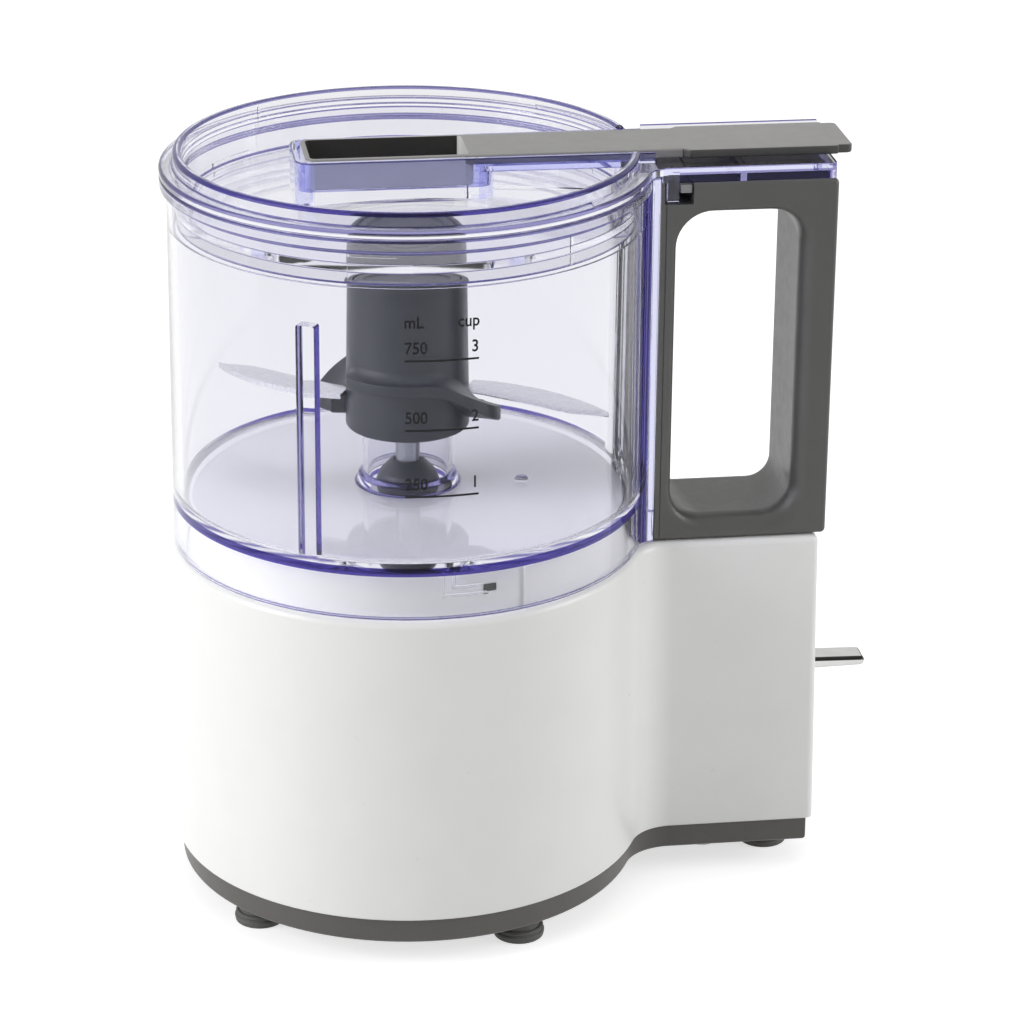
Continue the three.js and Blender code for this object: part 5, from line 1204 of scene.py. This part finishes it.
def lid_tail():
    half = HANDLE_HALF_WIDTH
    far = LIP_RADIUS + 1

    def plan(inset=0.0):
        return keyhole(LIP_RADIUS - 0.3, LID_TAIL_END, half, BRIDGE_FILLET, 1.6, inset)

    flat = cut(
        prism("tail_plate", plan(), LID_FLANGE_BOTTOM, LID_TAIL_TOP, 0.3),
        upright("disc", LID_SKIRT_RADIUS, LID_FLANGE_BOTTOM - 1, LID_TAIL_TOP + 1, steps=144),
        block("front", -far, LID_SKIRT_RADIUS - 20, -far, far, LID_FLANGE_BOTTOM - 1, LID_TAIL_TOP + 1),
    )
    skirt = cut(
        prism("skirt", plan(), LID_TAIL_BOTTOM, LID_FLANGE_BOTTOM + 1),
        prism("skirt_room", plan(LID_TAIL_WALL), LID_TAIL_BOTTOM - 1, LID_FLANGE_BOTTOM + 0.5),
        block("keep", -far, HANDLE_START + 0.2, -far, far, LID_TAIL_BOTTOM - 1, LID_TAIL_TOP),
    )
    rib = block(
        "rib", LID_RIB_X, LID_RIB_X + LID_TAIL_WALL, 1 - half, half - 1,
        LID_TAIL_BOTTOM, LID_FLANGE_BOTTOM + 1,
    )
    hook_start = ROD_X - ROD_THICKNESS / 2 + 0.4
    hook = block(
        "hook", hook_start, hook_start + HOOK_THICKNESS, -half, HOOK_WIDTH - half,
        LATCH_BOTTOM + 0.6, LID_TAIL_TOP - 1, 0.2,
    )
    bead = block(
        "bead", LIP_RADIUS, lid_box.x1, half - REAR_BEAD_WALL, half, LID_TAIL_TOP - 1, REAR_BEAD_TOP, 0.2,
    )
    return join(flat, skirt, rib, hook, bead)


# ---------------------------------------------------------------- bar with its chute liner


def lid_bar():
    narrow_end = BAR_WIDE_START + GAP
    wide_start = BAR_WIDE_START + 2
    front = [
        (LINER_END - 5, -LINER_HALF_WIDTH, 0), (narrow_end, -LINER_HALF_WIDTH, 0.8),
        (wide_start, -BAR_HALF_WIDTH, 0.8), (BAR_WIDE_END, -BAR_HALF_WIDTH, 0.5),
        (BAR_WIDE_END, -TAB_HALF_WIDTH, 0.3), (bar_box.x1, -TAB_HALF_WIDTH, 1.6),
    ]
    rear = [(x, -y, corner) for x, y, corner in reversed(front)]
    bar = prism("lid_bar_top", rounded(front + rear), BAR_BOTTOM, BAR_TOP, 0.55, 4)
    liner_plan = rounded_plan(LINER_START, LINER_END, LINER_HALF_WIDTH, LINER_CORNER)
    join(bar, prism("liner", liner_plan, LINER_BOTTOM, BAR_TOP, 0.4))
    cut(bar, chute_block("chute", LINER_BOTTOM - 1, BAR_TOP + 1, 1.5))
    to_frame(bar, "lid", grey_plastic, ["lid_bar"])

    def zone(centre, normal, width):
        """Painted shade darkens the chute's inner walls and the lip over the handle, and painted light makes
        the liner's outside pale.
        """
        # painted shade: the chute's inner walls below the bar's top take the near-black copy
        in_chute = CHUTE_START - 0.1 < centre.x < CHUTE_END - 1.2 and abs(centre.y) < CHUTE_HALF_WIDTH + 0.1
        if in_chute and centre.z < BAR_TOP - 0.3:
            return 1
        # painted shade: the bar's faces over the handle that don't face up take the dark copy
        if centre.x > BAR_WIDE_START - 6:
            return 2 if normal.z < 0.7 else 0
        # painted light: the liner's outside below the bar's top takes the pale copy
        return 3 if centre.x < LINER_END + 0.1 and centre.z < BAR_TOP - 0.5 else 0

    return dress(bar, [chute_painted_shade, lip_painted_shade, liner_painted_light], zone)


# ---------------------------------------------------------------- printed scale


def wall_radius(z):
    """The bowl's outer radius at a height."""
    share = (z - BOWL_FLOOR_TOP) / (BOWL_STEP - BOWL_FLOOR_TOP)
    return BOWL_RADIUS_BOTTOM - 0.2 + share * (BOWL_RADIUS_TOP - BOWL_RADIUS_BOTTOM + 0.2)


def lettering(text, x, z, align):
    """Flat closed letters as a mesh of x, z and thickness."""
    curve = bpy.data.curves.new("letters", "FONT")
    curve.body = text
    curve.size = LETTER_SIZE
    curve.align_x = align
    curve.extrude = INK_THICKNESS / 2
    curve.resolution_u = 4
    curve.offset = LETTER_WEIGHT
    mesh = mesh_of(curve)
    squeeze = Matrix.Scale(LETTER_SQUEEZE, 4, (1, 0, 0))
    mesh.transform(Matrix.Translation((x, 0, z)) @ Matrix.Rotation(QUARTER, 4, "X") @ squeeze)
    return mesh


def level_line(z):
    """A printed line along the wall."""
    steps = 24
    rings = []
    for i in range(steps + 1):
        x = SCALE_LEFT + (SCALE_RIGHT - SCALE_LEFT) * i / steps
        rings.append([
            (x, -INK_THICKNESS / 2, z - LINE_HALF), (x, INK_THICKNESS / 2, z - LINE_HALF),
            (x, INK_THICKNESS / 2, z + LINE_HALF), (x, -INK_THICKNESS / 2, z + LINE_HALF),
        ])
    return loft("level_line", rings).data


def scale_marks():
    """Generic filling marks in two plain units, printed on the bowl's front wall."""
    meshes = [
        lettering("mL", SCALE_LEFT - 0.1, SCALE_HEADING, "LEFT"),
        lettering("cup", SCALE_RIGHT + 0.2, SCALE_HEADING, "RIGHT"),
    ]
    for z, volume, cups in zip(SCALE_LEVELS, ("250", "500", "750"), ("1", "2", "3")):
        meshes.append(level_line(z))
        meshes.append(lettering(volume, SCALE_LEFT, z + DIGIT_GAP, "LEFT"))
        meshes.append(lettering(cups, SCALE_RIGHT, z + DIGIT_GAP, "RIGHT"))
    bm = bmesh.new()
    for mesh in meshes:
        bm.from_mesh(mesh)
        bpy.data.meshes.remove(mesh)
    for vertex in bm.verts:
        x, depth, z = vertex.co
        radius = wall_radius(z) + 0.02 + INK_THICKNESS / 2 - depth
        vertex.co = (x, -math.sqrt(radius ** 2 - x ** 2), z)
    marks = bpy.data.meshes.new("scale_marks")
    bm.to_mesh(marks)
    bm.free()
    return to_frame(tidy_mesh(linked("scale_marks", marks)), "bowl", ink, ())


# ---------------------------------------------------------------- build every piece

base_housing()
bottom_plate()
for foot_name in FEET:
    foot(foot_name)
cord_gland()
spindle_boot()
switch_lever()
bowl()
handle()
interlock_slider()
blade_hub()
hub_cap()
turret_pad()
scale_marks()
blade("blade_right_edge", BLADE_ANGLE, "blade_right")
blade("blade_left_edge", BLADE_ANGLE + 180, "blade_left")
lid()
lid_bar()

CAD_FINISHES = {
    "steel": steel, "brass": brass, "copper": copper, "ceramic": ceramic, "nylon": nylon, "board": board,
    "dark_plastic": dark_plastic, "white_plastic": white_plastic, "grey_plastic": grey_plastic,
    "hub_plastic": hub_plastic, "clear_plastic": clear, "rubber": rubber, "chrome": chrome,
    "blade_steel": blade_steel,
}
slot_of = {entry["node"]: entry["material_slot"] for entry in frame["record"]["subparts"]}
for node, cad_object in frame["nodes"].items():
    for holder in cad_object.material_slots:
        holder.material = CAD_FINISHES[slot_of[node]]

# ---------------------------------------------------------------- stage, light and camera

AMBIENT = 0.38
FLOOR_GLOW = 0.65
GLOW_THROUGH = 0.62
FLOOR_REACH = 6.0  # metres
CAMERA_AZIMUTH = radians(8.17)
CAMERA_PITCH = radians(21.72)
CAMERA_ROLL = radians(0.45)
CAMERA_DISTANCE = 1.04498
TARGET_SCALE = 1.05
TARGET_ASIDE = 0.02878
TARGET_HEIGHT = 0.10713
FOCAL_LENGTH = 126.56
LAMPS = (  # name, place and diameter in metres, power in watts
    ("key_left", (-1.55, -0.4, 0.7), 1.2, 19),
    ("fill_right", (1.5, -0.4, 0.6), 0.9, 10),
    ("top", (0.1, 0.2, 1.8), 1.2, 6),
)


def seen_directly(tree, through=1.0):
    """1 for rays from the camera, straight or mirrored, and a share for those that come through glass."""

    def math_node(operation, *values):
        node = add_node(tree, "ShaderNodeMath", *values)
        node.operation = operation
        return node.outputs[0]

    path = tree.nodes.new("ShaderNodeLightPath").outputs
    smooth = math_node("MAXIMUM", path["Is Glossy Ray"], path["Is Transmission Ray"])
    seen = math_node("MAXIMUM", path["Is Camera Ray"], smooth)
    share = math_node("MULTIPLY_ADD", path["Is Transmission Ray"], through - 1.0, 1.0)
    unscattered = math_node("LESS_THAN", path["Diffuse Depth"], 0.5)
    return math_node("MULTIPLY", math_node("MULTIPLY", seen, share), unscattered)


def stage():
    """A pale floor that glows towards the camera, so that it is white but keeps the object's shadow."""
    mesh = bpy.data.meshes.new("floor")
    corners = [(x, y, 0) for x, y in rectangle(-FLOOR_REACH, FLOOR_REACH, -FLOOR_REACH, FLOOR_REACH)]
    mesh.from_pydata(corners, [], [(0, 1, 2, 3)])
    floor = linked("floor", mesh)
    finish = Finish("floor", (216, 216, 216), 0.8)
    seen = seen_directly(finish.tree, GLOW_THROUGH)
    strength = add_node(finish.tree, "ShaderNodeMath", seen, FLOOR_GLOW)
    strength.operation = "MULTIPLY"
    glow = add_node(finish.tree, "ShaderNodeEmission", Strength=strength.outputs[0])
    finish.show("ShaderNodeAddShader", finish.shader.outputs[0], glow.outputs[0])
    mesh.materials.append(finish.material)


def world():
    """A soft grey studio that the camera, glossy and transmission rays see as plain white."""
    studio = bpy.data.worlds.new("studio")
    bpy.context.scene.world = studio
    studio.use_nodes = True
    tree = studio.node_tree
    tree.nodes.clear()
    ambient, white = [
        add_node(tree, "ShaderNodeBackground", Color=(1, 1, 1, 1), Strength=strength).outputs[0]
        for strength in (AMBIENT, 1.0)
    ]
    mix = add_node(tree, "ShaderNodeMixShader", seen_directly(tree), ambient, white)
    add_node(tree, "ShaderNodeOutputWorld", Surface=mix.outputs[0])


def lamp(name, place, size, power):
    light = bpy.data.lights.new(name, "AREA")
    light.shape = "DISK"
    light.size = size
    light.energy = power
    holder = linked(name, light)
    holder.location = place
    aim = Vector((0, 0, 0.1)) - Vector(place)
    holder.rotation_mode = "QUATERNION"
    holder.rotation_quaternion = aim.to_track_quat("-Z", "Y")
    holder.visible_transmission = False


def camera():
    """A long lens that looks down from the front and a little from the left."""
    reach = math.cos(CAMERA_PITCH)
    forward = Vector((
        math.sin(CAMERA_AZIMUTH) * reach, math.cos(CAMERA_AZIMUTH) * reach, -math.sin(CAMERA_PITCH),
    ))
    level = Vector((math.cos(CAMERA_AZIMUTH), -math.sin(CAMERA_AZIMUTH), 0))
    over = level.cross(forward)
    right = math.cos(CAMERA_ROLL) * level + math.sin(CAMERA_ROLL) * over
    up = math.cos(CAMERA_ROLL) * over - math.sin(CAMERA_ROLL) * level
    target = TARGET_SCALE * (TARGET_ASIDE * level + Vector((0, 0, TARGET_HEIGHT)))
    lens = bpy.data.cameras.new("camera")
    lens.lens = FOCAL_LENGTH
    lens.clip_start = 0.05
    lens.clip_end = 20
    eye = linked("camera", lens)
    place = target - CAMERA_DISTANCE * forward + Vector((AXIS_X, 0, 0))
    axes = Matrix((right, up, -forward)).transposed().to_4x4()
    eye.matrix_world = Matrix.Translation(place) @ axes
    bpy.context.scene.camera = eye


stage()
world()
for details in LAMPS:
    lamp(*details)
camera()
bpy.context.scene.view_settings.view_transform = "Standard"
for limit in ("max_bounces", "transmission_bounces", "glossy_bounces", "transparent_max_bounces"):
    setattr(bpy.context.scene.cycles, limit, 32)
